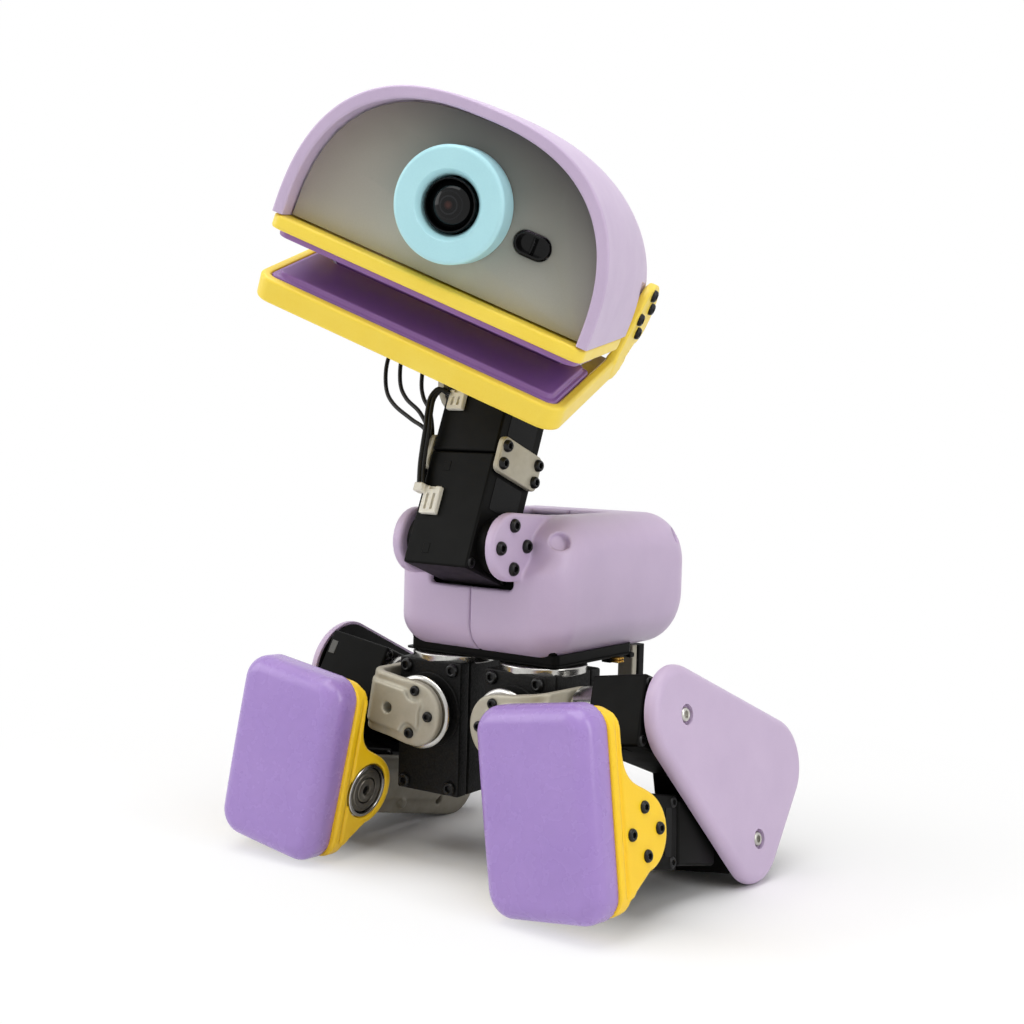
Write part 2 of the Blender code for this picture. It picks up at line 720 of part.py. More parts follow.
def stadium(centre, length, height, count=24):
    """Long window outline with round ends."""
    half = (length - height) / 2
    ends = circle((centre[0] - half, centre[1]), height / 2, count)
    return hull(ends + circle((centre[0] + half, centre[1]), height / 2, count))


def make_head(frame):
    """Head shell, face, eye, sensors, upper jaw, palate, jaw servo and the roll bracket."""
    hinge = (HINGE_BEHIND_EYE, -HINGE_BELOW_EYE)
    far = 2 * HEAD_HALF_WIDTH
    shaft_hole = disc("x", hinge, COMPACT_HORN_RADIUS + SWING_GAP, -far, far, 0.0, 24)
    shell = cut(head_shell(), shaft_hole)
    arm_face = JAW_HALF_WIDTH - JAW_WALL - RUN_GAP
    arm_front = hinge[0] - JAW_BOSS - JAW_ARM_WIDTH - SWING_GAP
    arm_top = hinge[1] + JAW_BOSS + SWING_GAP
    for ends in ((arm_face, far), (-far, -arm_face)):
        shell = cut(shell, block((ends[0], arm_front, -far), (ends[1], far, arm_top)))
    piece("head_shell", shell, frame, "lilac")

    face_y = HEAD_FRONT + FACE_RECESS
    share = (FACE_RECESS + FACE_THICKNESS) / (HEAD_DEPTH - HEAD_WALL)
    outline = [(x, max(z, -HEAD_BASE + GAP)) for x, z in head_arch(share, HEAD_WALL + GAP)]
    face = prism(outline, "y", face_y, face_y + FACE_THICKNESS)
    sensor = (SENSOR_SIDE, -SENSOR_DROP)
    face = cut(face, disc("y", (0, 0), BARREL_RADIUS + GAP, 0, far),
               prism(stadium(sensor, SENSOR_LENGTH + 2 * GAP, SENSOR_HEIGHT + 2 * GAP), "y", 0, far))
    piece("face_plate", face, frame, "smoked")

    ring_depth = face_y - GAP
    bore_rear = BARREL_RADIUS + GAP
    ring = turned([(EYE_RADIUS - EYE_EDGE, 0), (EYE_RADIUS, EYE_EDGE), (EYE_RADIUS, ring_depth),
                   (bore_rear, ring_depth), (bore_rear, EYE_BEVEL), (EYE_BORE, 0)])
    piece("eye_ring", ring, frame, "cyan")
    rear = BARREL_FRONT + BARREL_LENGTH
    lens = BARREL_RADIUS - BARREL_RIM
    bowl = BARREL_FRONT + LENS_DEPTH
    lip = BARREL_RADIUS - BARREL_EDGE
    barrel = turned([(0, bowl - LENS_CROWN), (lens * 0.6, bowl - LENS_CROWN / 2), (lens, bowl),
                     (lip, BARREL_FRONT), (BARREL_RADIUS, BARREL_FRONT + BARREL_EDGE),
                     (BARREL_RADIUS, rear), (0, rear)])
    piece("camera_barrel", barrel, frame, "lens")
    half = CAMERA_BOARD / 2
    card = rounded_rectangle((-half, -half), (half, half), CAMERA_BOARD_CORNER, 16)
    board = prism(card, "y", rear + GAP, rear + GAP + BOARD_THICKNESS)
    piece("camera_board", board, frame, "board")
    window = prism(stadium(sensor, SENSOR_LENGTH, SENSOR_HEIGHT), "y", face_y - SENSOR_PROUD,
                   face_y - SENSOR_PROUD + SENSOR_DEPTH, SENSOR_EDGE, 0.0, 1)
    piece("range_sensor", window, frame, "lens")

    jaw_top = -HEAD_BASE - GAP
    piece("upper_jaw", upper_jaw(jaw_top), frame, "yellow")
    palate_top = jaw_top - UPPER_JAW_HEIGHT - GAP
    edge = HEAD_HALF_WIDTH - PALATE_INSET
    bar_rear = HEAD_FRONT + UPPER_JAW_BAR - LIP_THICKNESS
    plate = rounded_rectangle((-edge, HEAD_FRONT + PALATE_INSET), (edge, bar_rear - GAP), PALATE_CORNER, 16)
    palate = prism(plate, "z", palate_top - PALATE_THICKNESS, palate_top, PALATE_EDGE, 0.0, 1)
    piece("palate", palate, frame, "plum")

    horn_face = JAW_HALF_WIDTH - JAW_WALL - GAP
    case_outer = JAW_SERVO_SIDE
    jaw_servo = compact_servo((0, 0, 1), (1, 0, 0), (horn_face, *hinge), horn_face - case_outer)
    piece("jaw_servo", jaw_servo, frame, "black")

    axis = (-ROLL_AXIS_OFF_MIDDLE, EYE_BELOW_ROLL)
    horn_y = EYE_AHEAD_OF_ROLL + ROLL_SERVO_REAR - COMPACT_DEPTH - COMPACT_HORN_DEPTH
    foot = -HEAD_BASE + GAP
    reach = COMPACT_HORN_RADIUS + BRACKET_MARGIN
    sheet = hull(circle(axis, reach) + [(axis[0] - reach, foot), (axis[0] + reach, foot)])
    bracket = prism(sheet, "y", horn_y - GAP - BRACKET_PLATE, horn_y - GAP)
    tab = block((axis[0] - reach, horn_y - GAP - BRACKET_TAB, foot),
                (axis[0] + reach, horn_y - GAP - BRACKET_PLATE / 2, foot + BRACKET_PLATE))
    piece("head_bracket", join(bracket, tab), frame, "steel")


def upper_jaw(top):
    """Band under the head shell, open at the rear for the neck, with a lip behind the palate."""
    bottom = top - UPPER_JAW_HEIGHT
    front = HEAD_FRONT
    half = HEAD_HALF_WIDTH - GAP
    side = []
    rows = 6
    for index in range(rows):
        y = front + UPPER_JAW_CORNER + (UPPER_JAW_REAR - front - UPPER_JAW_CORNER) * index / (rows - 1)
        share = (y - front) / HEAD_DEPTH
        side.append((head_section(share, GAP)[0], y))
    corner = circle((half - UPPER_JAW_CORNER, front + UPPER_JAW_CORNER), UPPER_JAW_CORNER, 24)
    outline = hull(side + corner + [(-x, y) for x, y in side + corner])
    body = prism(outline, "z", bottom, top, UPPER_JAW_EDGE, UPPER_JAW_EDGE, 1)
    inner = UPPER_JAW_SIDE
    bar_rear = front + UPPER_JAW_BAR
    past = UPPER_JAW_REAR + UPPER_JAW_SIDE
    opening = block((-half + inner, bar_rear, bottom - 1), (half - inner, past, top + 1))
    lip = block((-LIP_HALF_WIDTH, bar_rear - LIP_THICKNESS, bottom - LIP_DROP),
                (LIP_HALF_WIDTH, bar_rear, bottom + 1))
    return join(cut(body, opening), lip)


def make_jaw(frame):
    """Lower jaw tray on two hinge arms, and the tongue pad in it."""
    half = JAW_HALF_WIDTH
    wall_top = -JAW_BOTTOM + JAW_WALL_HEIGHT
    rear = -JAW_REACH + JAW_FLOOR_DEPTH
    long_rear = -JAW_BOSS
    outer = rounded_rectangle((-half, -JAW_REACH), (half, long_rear + 2 * JAW_CORNER), JAW_CORNER, 24)
    body = prism(outer, "z", -JAW_BOTTOM, wall_top, JAW_EDGE, 0.0, 2)
    inside = half - JAW_WALL
    well_low = (-inside, -JAW_REACH + JAW_WALL)
    well = rounded_rectangle(well_low, (inside, 3 * JAW_BOSS), JAW_CORNER - JAW_WALL, 16)
    body = cut(body, prism(well, "z", -JAW_BOTTOM + JAW_FLOOR, wall_top + 1))
    behind = block((-inside, rear, -JAW_BOTTOM - 1), (inside, 3 * JAW_BOSS, wall_top + 1))
    notch_front = rear - NOTCH_DEPTH
    notch_low = (-NOTCH_HALF_WIDTH, notch_front, -JAW_BOTTOM - 1)
    notch = block(notch_low, (NOTCH_HALF_WIDTH, rear + 1, wall_top + 1))
    tail = block((-half - 1, long_rear, -JAW_BOTTOM - 1), (half + 1, 4 * JAW_BOSS, wall_top + 1))
    body = cut(body, behind, notch, tail)
    root = [(long_rear - JAW_ARM_WIDTH, -JAW_BOTTOM), (long_rear - JAW_ARM_WIDTH, wall_top)]
    arm = hull(circle((0, 0), JAW_BOSS) + root + [(long_rear, -JAW_BOTTOM + JAW_EDGE)])
    body = join(body, prism(arm, "x", inside, half), prism(arm, "x", -half, -inside))
    piece("lower_jaw", body, frame, "yellow")

    edge = inside - GAP
    floor = -JAW_BOTTOM + JAW_FLOOR + GAP
    top = wall_top + TONGUE_PROUD
    front = -JAW_REACH + JAW_WALL + GAP
    lower = rounded_rectangle((-edge, front), (edge, rear), JAW_CORNER - JAW_WALL, 16)
    pad = prism(lower, "z", floor, top - TONGUE_STEP / 2)
    inset = TONGUE_STEP
    upper = rounded_rectangle((-edge + inset, front + inset / 2), (edge - inset, rear - inset),
                              JAW_CORNER - JAW_WALL, 16)
    pad = join(pad, prism(upper, "z", floor + JAW_FLOOR / 2, top, 0.0, TONGUE_EDGE, 2))
    gap_notch = block((-NOTCH_HALF_WIDTH, notch_front, floor - 1), (NOTCH_HALF_WIDTH, rear + 1, top + 1))
    piece("tongue", cut(pad, gap_notch), frame, "plum")


def make_hip(frame, side, suffix):
    """Disc on the yaw horn and the tall housing of the roll servo below it."""
    top = HIP_DISC_THICKNESS
    ring = disc("z", (0, 0), HIP_DISC_RADIUS, 0, top, HIP_DISC_EDGE)
    piece("hip_yaw_disc_" + suffix, mirrored(ring, side), frame, "steel")
    axis_z = HIP_ROLL_AXIS_Z - HIP_TOP_Z
    low = (-HOUSING_HALF_WIDTH, -HOUSING_FRONT, axis_z - HOUSING_BOTTOM)
    high = (HOUSING_HALF_WIDTH, HOUSING_DEPTH - HOUSING_FRONT, axis_z + HOUSING_TOP)
    housing = block(low, high, SERVO_EDGE)
    boss = disc("y", (0, axis_z), HORN_RADIUS, -HOUSING_FRONT - ROLL_BOSS_DEPTH, -HOUSING_FRONT + 1)
    piece("hip_roll_servo_" + suffix, mirrored(join(housing, boss), side), frame, "black")


def make_bracket(frame, side, suffix):
    """Ring on the roll horn and the angled bracket that carries the hip pitch horn."""
    ring_rear = -HOUSING_FRONT - ROLL_BOSS_DEPTH - GAP
    ring_front = ring_rear - ROLL_RING_DEPTH
    ring = disc("y", (0, 0), ROLL_RING_RADIUS, ring_front, ring_rear, ROLL_RING_EDGE)
    piece("hip_roll_ring_" + suffix, mirrored(ring, side), frame, "steel")
    plate_rear = ring_front - GAP
    plate_front = plate_rear - BRACKET_THICKNESS
    outer = BRACKET_INNER + BRACKET_THICKNESS
    tall = BRACKET_HALF_HEIGHT
    front = hull(circle((0, 0), tall) + [(outer, -tall), (outer, tall)])
    flank = hull(circle(HIP_PITCH_AXIS, tall) + [(plate_front, -tall), (plate_front, tall)])
    body = join(prism(front, "y", plate_front, plate_rear), prism(flank, "x", BRACKET_INNER, outer))
    piece("hip_bracket_" + suffix, mirrored(body, side), frame, "cream")


def rounded_triangle(radius):
    """Outline of the thigh cover, round its hip, knee and rear corners."""
    corners = (COVER_FRONT_FROM_HIP, COVER_TOP_FROM_HIP, KNEE_FROM_HIP)
    points = []
    for corner in corners:
        points += circle(corner, radius, 40)
    return hull(points)


def make_thigh(frame, side, suffix):
    """Hip pitch servo and knee servo on a plate, under the outer cover."""
    hip_face = (HORN_FACE, 0, 0)
    to_rear = (0, *COVER_TOP_FROM_HIP)
    piece("hip_pitch_servo_" + suffix, mirrored(servo(to_rear, (-1, 0, 0), hip_face), side), frame, "black")
    knee_face = (HORN_FACE, *KNEE_FROM_HIP)
    piece("knee_servo_" + suffix, mirrored(servo((0, 0, 1), (-1, 0, 0), knee_face), side), frame, "black")
    plate = prism(rounded_triangle(COVER_RADIUS - FRAME_INSET), "x", FRAME_INNER, FRAME_INNER + FRAME_PLATE)
    piece("thigh_frame_" + suffix, mirrored(plate, side), frame, "black")
    cover = prism(rounded_triangle(COVER_RADIUS), "x", COVER_INNER, COVER_INNER + COVER_THICKNESS,
                  0.0, COVER_EDGE, 2)
    piece("thigh_cover_" + suffix, mirrored(cover, side), frame, "lilac")


def make_shin(frame, side, suffix):
    """Inner shin plate with the ankle pin, the ankle servo and the block behind it."""
    inner = BRACKET_INNER
    outer = inner + SHIN_PLATE
    outline = hull(circle((0, 0), SHIN_RADIUS) + circle(ANKLE_FROM_KNEE, SHIN_RADIUS))
    plate = prism(outline, "x", inner, outer)
    pin_inner = FOOT_INNER + GAP
    pin = disc("x", ANKLE_FROM_KNEE, ANKLE_PIN_RADIUS, pin_inner, inner + 1, 0.0, 20)
    boss = disc("x", ANKLE_FROM_KNEE, ANKLE_BOSS_RADIUS, outer - 1, CASE_INNER - GAP, 0.0, 24)
    piece("shin_plate_" + suffix, mirrored(join(plate, pin, boss), side), frame, "cream")
    ankle_face = (ANKLE_HORN_FACE, *ANKLE_FROM_KNEE)
    to_knee = Vector((0, -ANKLE_FROM_KNEE[0], -ANKLE_FROM_KNEE[1]))
    piece("ankle_servo_" + suffix, mirrored(servo(to_knee, (1, 0, 0), ankle_face), side), frame, "black")
    span = to_knee.length
    low = (CASE_INNER, SERVO_LENGTH - SERVO_AXIS + GAP, -SHIN_BRACKET_HALF_HEIGHT)
    high = (CASE_OUTER, span - SERVO_SWEEP - SWING_GAP, SHIN_BRACKET_HALF_HEIGHT)
    spacer = block(low, high, SERVO_EDGE)
    lean = math.atan2(to_knee.z, to_knee.y)
    place = Matrix.Translation((0, *ANKLE_FROM_KNEE)) @ Matrix.Rotation(lean, 4, "X")
    bmesh.ops.transform(spacer, matrix=place, verts=spacer.verts)
    piece("shin_bracket_" + suffix, mirrored(spacer, side), frame, "black")


def make_foot(frame, side, suffix):
    """Foot frame with its two ankle arms, the bearing in the inner arm and the sole pad."""
    flange_rear = -FLANGE_REACH + FLANGE_THICKNESS
    outline = rounded_rectangle((FOOT_INNER, -FLANGE_BOTTOM), (FOOT_OUTER, FLANGE_TOP), FLANGE_CORNER)
    flange = prism(outline, "y", -FLANGE_REACH, flange_rear)
    root_y = -FLANGE_REACH + FLANGE_THICKNESS / 2
    arm = hull(circle((0, 0), FOOT_BOSS) + [(root_y, ARM_ROOT_TOP), (root_y, -ARM_ROOT_BOTTOM)])
    body = join(flange, prism(arm, "x", FOOT_INNER, FOOT_INNER + FOOT_ARM),
                prism(arm, "x", FOOT_OUTER_INNER, FOOT_OUTER))
    bore = disc("x", (0, 0), BEARING_RADIUS + GAP, FOOT_INNER - 1, FOOT_INNER + FOOT_ARM + 1)
    sweep = SERVO_SWEEP + SWING_GAP
    window_low = (BRACKET_INNER - SWING_GAP, -FLANGE_REACH - 1, -sweep)
    window = block(window_low, (FOOT_OUTER_INNER, flange_rear + 1, sweep))
    piece("foot_frame_" + suffix, mirrored(cut(body, bore, window), side), frame, "yellow")
    bearing = disc("x", (0, 0), BEARING_RADIUS, FOOT_INNER, FOOT_INNER + BEARING_WIDTH, BEARING_EDGE)
    pin_hole = disc("x", (0, 0), ANKLE_PIN_RADIUS + GAP, 0, FOOT_OUTER, 0.0, 20)
    piece("ankle_bearing_" + suffix, mirrored(cut(bearing, pin_hole), side), frame, "steel")
    half = PAD_LENGTH / 2
    low = (PAD_MIDDLE_SIDE - PAD_WIDTH / 2, PAD_MIDDLE_UP - half)
    high = (PAD_MIDDLE_SIDE + PAD_WIDTH / 2, PAD_MIDDLE_UP + half)
    pad_rear = -FLANGE_REACH - GAP
    pad = prism(rounded_rectangle(low, high, PAD_CORNER, 24), "y", pad_rear - PAD_THICKNESS, pad_rear,
                PAD_EDGE, 0.0, 3)
    pocket = block((CASE_INNER - SWING_GAP, -sweep, -sweep), (CASE_OUTER + SWING_GAP, pad_rear + 1, sweep))
    piece("foot_pad_" + suffix, mirrored(cut(pad, pocket), side), frame, "purple_rubber")


def make_leg(torso, side, suffix):
    """One leg, from the hip yaw joint to the foot."""
    hip_place = (side * HIP_SIDE, HIP_AXIS_Y, HIP_TOP_Z)
    hip = joint_frame("hip_yaw_" + suffix, torso, hip_place, (0, 0, side * HIP_YAW))
    make_hip(hip, side, suffix)
    roll_place = (0, 0, HIP_ROLL_AXIS_Z - HIP_TOP_Z)
    roll = joint_frame("hip_roll_" + suffix, hip, roll_place, (0, -side * LEG_SPREAD, 0))
    make_bracket(roll, side, suffix)
    thigh = joint_frame("hip_pitch_" + suffix, roll, (0, *HIP_PITCH_AXIS))
    make_thigh(thigh, side, suffix)
    shin = joint_frame("knee_" + suffix, thigh, (0, *KNEE_FROM_HIP))
    make_shin(shin, side, suffix)
    foot = joint_frame("ankle_" + suffix, shin, (0, *ANKLE_FROM_KNEE), (SOLE_TILT, 0, 0))
    make_foot(foot, side, suffix)


def main():
    clear_scene()
    torso = joint_frame("torso", None, (*SEAT_SHIFT, 0))
    make_torso(torso)
    neck = joint_frame("neck_pitch", torso, (0, NECK_PIVOT_Y, NECK_PIVOT_Z), (-NECK_LEAN, 0, 0))
    make_neck(neck)
    make_leads(neck)
    yoke = joint_frame("head_pitch", neck, (0, 0, NECK_LENGTH), (NECK_LEAN + YOKE_TILT, 0, 0))
    make_yoke(yoke)
    swivel = joint_frame("head_yaw", yoke, (0, 0, SWIVEL_HEIGHT), (0, 0, HEAD_YAW))
    make_swivel(swivel)
    head = joint_frame("head_roll", swivel, (0, 0, ROLL_HEIGHT), (0, HEAD_ROLL, 0))
    eye_place = (ROLL_AXIS_OFF_MIDDLE, -EYE_AHEAD_OF_ROLL, -EYE_BELOW_ROLL)
    eye = joint_frame("eye", head, eye_place)
    make_head(eye)
    jaw = joint_frame("jaw_hinge", eye, (0, HINGE_BEHIND_EYE, -HINGE_BELOW_EYE), (JAW_OPEN, 0, 0))
    make_jaw(jaw)
    for side, suffix in ((1, "left"), (-1, "right")):
        make_leg(torso, side, suffix)
    bpy.context.view_layer.update()


main()
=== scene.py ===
"""Dresses the seated robot: moulded shells, servo cases, castings, screws, leads, floor and light.

Pieces are made in the frame of the joint that carries them, in millimetres, and are turned into
metres in the model's own frame as they are placed. The robot looks along -Y and its left is +X.
"""
import json
import math

import bmesh
import bpy
import numpy as np
from mathutils import Euler, Matrix, Vector


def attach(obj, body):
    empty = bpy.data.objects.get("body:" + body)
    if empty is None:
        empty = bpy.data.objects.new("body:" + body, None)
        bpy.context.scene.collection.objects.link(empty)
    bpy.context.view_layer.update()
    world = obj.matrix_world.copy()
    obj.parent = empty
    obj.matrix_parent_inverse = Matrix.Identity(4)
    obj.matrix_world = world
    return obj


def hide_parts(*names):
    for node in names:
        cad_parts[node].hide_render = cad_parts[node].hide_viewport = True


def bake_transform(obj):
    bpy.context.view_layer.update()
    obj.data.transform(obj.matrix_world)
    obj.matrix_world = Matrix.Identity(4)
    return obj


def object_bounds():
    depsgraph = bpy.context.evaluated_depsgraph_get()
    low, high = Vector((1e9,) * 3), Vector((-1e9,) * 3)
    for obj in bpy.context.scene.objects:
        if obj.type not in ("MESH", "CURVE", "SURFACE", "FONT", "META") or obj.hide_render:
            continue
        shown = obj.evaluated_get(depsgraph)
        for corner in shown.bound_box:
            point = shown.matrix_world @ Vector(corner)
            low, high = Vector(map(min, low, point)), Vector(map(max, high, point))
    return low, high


MM = 0.001

# Photograph's camera
CAMERA_PLACE = (253.93, -333.61, 126.74)
CAMERA_AZIMUTH = 36.68
CAMERA_PITCH = 3.04
CAMERA_ROLL = 1.52
CAMERA_VIEW = 39.78

# Servos
SERVO_WIDTH = 20.0
SERVO_LENGTH = 34.0
SERVO_DEPTH = 23.0
SERVO_AXIS = 9.5
HORN_RADIUS = 8.0
HORN_DEPTH = 3.0
SERVO_BACK = -HORN_DEPTH - SERVO_DEPTH
LABEL_HEIGHT = 0.12
SCREW_SUNK = 0.4

# Torso
SEAT_SHIFT = 11.6
TORSO_HALF_WIDTH = 31.0
TORSO_FRONT = -23.7
TORSO_REAR = 52.5
TORSO_BOTTOM = 63.2
TORSO_TOP = 104.2
TORSO_WALL = 2.4
REAR_CORNER = 16.0
FRONT_TOP_CORNER = 18.5
FRONT_LOW_CORNER = 9.5
FLANK_EDGE = 10.5
HALF_SEAM = 0.15
EAR_INNER = 15.2
EAR_OUTER = 18.4
EAR_RADIUS = 9.7
EAR_ROOT = (-8.0, 94.7)
EAR_ROOT_RADIUS = 9.5
EAR_SEAT = 8.6
EAR_SCREW_RING = 6.1
SLOT_FLOOR = 83.0
SLOT_REAR = 26.0
RECESSES = (((26.7, -16.5, 97.7), (0.78, -0.42, 0.46)), ((29.2, 43.2, 97.2), (0.85, 0.30, 0.42)))
RECESS_RADIUS = 2.8
RECESS_DEPTH = 2.2
RECESS_BACKING_RADIUS = 5.2
RECESS_BACKING_DEPTH = 4.8
FRAME_FRONT = -18.0
FRAME_REAR = 22.8
FRAME_HALF_WIDTH = 27.2
PIN_ROW = (12.0, 13.3, 14.6)
PIN_LEVELS = (60.2, 61.1)
POST_PLACE = (19.0, 35.0)
POST_FOOT = 52.4
POST_TOP = 62.4

# Neck
NECK_PIVOT = (0.0, -27.8, 95.8)
NECK_LEAN = 20.5
NECK_LENGTH = 49.3
NECK_PLATE_HEIGHT = 10.6
NECK_PLATE_INNER = 11.8
NECK_PLATE_OUTER = 13.7

# Leads, in the neck's frame; each loop has its bulge, its low turn and its top
LEAD_DIAMETER = 1.3
LEAD_RUN = -14.85
LEAD_CASE = -12.45
LEAD_LOOPS = ((22.4, 33.2, 73.5), (18.7, 36.0, 76.6), (11.0, 37.0, 78.2))
LEAD_BEND_LOW = (0, 0, 34)
LEAD_BEND_HIGH = (0, 0, 68)
PLUG_ROUTE = ((-9.4, -11.9, 41.6), (-11.6, -13.2, 42.2), (-13.3, -13.7, 39.2), (-13.0, -13.7, 34.5),
              (-12.4, -13.4, 29.8), (-12.4, -12.6, 24.5), (-12.0, -12.0, 19.0), (-10.6, -11.8, 13.0))
STRAND_OFFSET = 0.66

# Head
YOKE_TILT = 9.2
SWIVEL_HEIGHT = 42.99
HEAD_YAW = 19.35
ROLL_HEIGHT = 11.5
HEAD_ROLL = 26.26
EYE_PLACE = (4.81, -47.3, -1.02)
HEAD_BASE = 20.5
HEAD_FRONT = 3.4
HEAD_DEPTH = 82.0
HEAD_HALF_WIDTH = 47.5
HEAD_HEIGHT = 47.0
HEAD_TAPER = 0.4
HEAD_WALL = 3.2
HEAD_EDGE = 0.7
HEAD_END = 0.996
FLANK_POWER = 6.5
CROWN_POWER = 2.7
ARCH_POWER = 2.55
FACE_DEPTH = 8.5
EYE_RADIUS = 15.3
EYE_EDGE = 1.3
SENSOR_PLACE = (22.7, -2.0)
LENS_RADIUS = 6.4
LENS_ARC = math.radians(48)

# Jaw
HINGE_PLACE = (0.0, 69.5, -15.2)
JAW_OPEN = 12.3
JAW_HALF_WIDTH = 47.2
JAW_WALL = 2.8
JAW_REACH = 68.4
JAW_BOTTOM = -15.8
JAW_FLOOR = 2.2
JAW_RIM = -8.8
JAW_FLOOR_REAR = -35.4
JAW_BOSS = 9.5
NOTCH_HALF_WIDTH = 37.0
NOTCH_DEPTH = 7.6
HINGE_SCREWS = ((-0.5, 6.6), (2.5, 1.5), (-8.2, 1.0), (-5.0, -4.4))

# Legs
HIP_PLACE = (16.5, -9.1, 59.9)
HIP_YAW = -2.8
ROLL_AXIS_DROP = 15.4
LEG_SPREAD = 9.0
HIP_PITCH_AXIS = (-3.2, 0.05)
HIP_NECK = {"left": 8.0, "right": 3.6}
HOUSING_HALF_WIDTH = 11.4
HOUSING_HALF_DEPTH = 13.0
HOUSING_ABOVE = 15.1
HOUSING_BELOW = 25.1
BRACKET_FRONT = -21.3
BRACKET_OUTER = 18.1
BRACKET_SHEET = 2.6
BRACKET_END = 9.8
BRACKET_WEB = -22.6
BRACKET_SCREWS = ((0.0, 7.0), (-5.9, 0.7), (-0.1, -5.9))
KNEE_FROM_HIP = (35.7, -38.3)
COVER_FRONT_FROM_HIP = (4.0, 0.0)
COVER_TOP_FROM_HIP = (52.5, -21.2)
ANKLE_FROM_KNEE = (-57.7, 12.1)
COVER_RADIUS = 14.1
COVER_INNER = 45.5
COVER_OUTER = 49.0
COVER_SEATS = ((5.77, 0.18), (36.73, -39.82))
SHIN_INNER = 15.5
SHIN_OUTER = 18.0
SHIN_KNEE_END = 10.0
SHIN_ANKLE_END = 8.8
HORN_FACE = 18.4
ANKLE_HORN_FACE = 47.4
SOLE_TILT = -2.8
FOOT_INNER = 9.0
FOOT_OUTER = 50.4
FOOT_ARM = 2.7
FOOT_BOSS = 10.2
BOSS_MIDDLE = (0.6, -0.2)
FLANGE_FRONT = -11.1
FLANGE_REAR = -7.6
ANKLE_SCREW_RING = 6.2
POCKET_HALF = 14.8
PAD_MIDDLE = (28.9, 6.5)
PAD_SIZE = (38.5, 55.4)
PAD_SHIFT = {"left": 1.4, "right": 0.0}
PAD_TAPER = 1.3
PAD_FRONT = -21.1

# Reach of a cut that leaves the piece
FAR = 30.0

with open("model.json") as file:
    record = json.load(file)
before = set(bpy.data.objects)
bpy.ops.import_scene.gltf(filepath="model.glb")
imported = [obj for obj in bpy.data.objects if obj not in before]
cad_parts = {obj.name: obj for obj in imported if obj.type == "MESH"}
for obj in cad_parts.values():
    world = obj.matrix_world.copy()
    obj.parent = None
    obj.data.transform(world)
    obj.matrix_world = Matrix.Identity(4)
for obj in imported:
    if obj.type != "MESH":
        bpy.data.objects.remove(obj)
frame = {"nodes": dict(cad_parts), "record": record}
cad_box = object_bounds()


def frame_at(parent, place, turn=(0.0, 0.0, 0.0)):
    """Frame set at a place in its parent's frame and turned in degrees."""
    spin = Euler([math.radians(angle) for angle in turn]).to_matrix().to_4x4()
    return parent @ Matrix.Translation(place) @ spin


TORSO = Matrix.Translation((0.0, SEAT_SHIFT, 0.0))
NECK = frame_at(TORSO, NECK_PIVOT, (-NECK_LEAN, 0.0, 0.0))
YOKE = frame_at(NECK, (0.0, 0.0, NECK_LENGTH), (NECK_LEAN + YOKE_TILT, 0.0, 0.0))
SWIVEL = frame_at(YOKE, (0.0, 0.0, SWIVEL_HEIGHT), (0.0, 0.0, HEAD_YAW))
ROLL = frame_at(SWIVEL, (0.0, 0.0, ROLL_HEIGHT), (0.0, HEAD_ROLL, 0.0))
EYE = frame_at(ROLL, EYE_PLACE)
JAW = frame_at(EYE, HINGE_PLACE, (JAW_OPEN, 0.0, 0.0))


def leg_frames(side):
    """Frames of one leg's joints, hip first."""
    hip = frame_at(TORSO, (side * HIP_PLACE[0], HIP_PLACE[1], HIP_PLACE[2]), (0, 0, side * HIP_YAW))
    spread = frame_at(hip, (0, 0, -ROLL_AXIS_DROP), (0, -side * LEG_SPREAD, 0))
    thigh = frame_at(spread, (0, *HIP_PITCH_AXIS))
    shin = frame_at(thigh, (0, *KNEE_FROM_HIP))
    foot = frame_at(shin, (0, *ANKLE_FROM_KNEE), (SOLE_TILT, 0, 0))
    return {"hip": hip, "spread": spread, "thigh": thigh, "shin": shin, "foot": foot}


SIDES = {"left": 1, "right": -1}
LEGS = {name: leg_frames(side) for name, side in SIDES.items()}


# Camera
def make_camera():
    """Camera at the photograph's place and angle."""
    azimuth = math.radians(CAMERA_AZIMUTH)
    pitch = math.radians(CAMERA_PITCH)
    roll = math.radians(CAMERA_ROLL)
    level_back = Vector((math.sin(azimuth), -math.cos(azimuth), 0.0))
    back = level_back * math.cos(pitch) + Vector((0.0, 0.0, math.sin(pitch)))
    level = Vector((math.cos(azimuth), math.sin(azimuth), 0.0))
    upright = back.cross(level)
    right = level * math.cos(roll) + upright * math.sin(roll)
    up = upright * math.cos(roll) - level * math.sin(roll)
    data = bpy.data.cameras.new("camera")
    data.sensor_width = 36.0
    data.angle = math.radians(CAMERA_VIEW)
    data.clip_start = 0.01
    camera = bpy.data.objects.new("camera", data)
    turn = Matrix((right, up, back)).transposed().to_4x4()
    camera.matrix_world = Matrix.Translation(Vector(CAMERA_PLACE) * MM) @ turn
    bpy.context.scene.collection.objects.link(camera)
    bpy.context.scene.camera = camera


make_camera()


# Shader expressions
class Wire:
    """Shader socket that takes part in Python sums, with numbers or with other sockets."""

    def __init__(self, finish, socket):
        self.finish = finish
        self.socket = socket

    def math(self, operation, first, second):
        return self.finish.node("ShaderNodeMath", {"operation": operation}, {0: first, 1: second})

    def __add__(self, other):
        return self.math("ADD", self, other)

    def __sub__(self, other):
        return self.math("SUBTRACT", self, other)

    def __rsub__(self, other):
        return self.math("SUBTRACT", other, self)

    def __mul__(self, other):
        return self.math("MULTIPLY", self, other)

    __radd__ = __add__


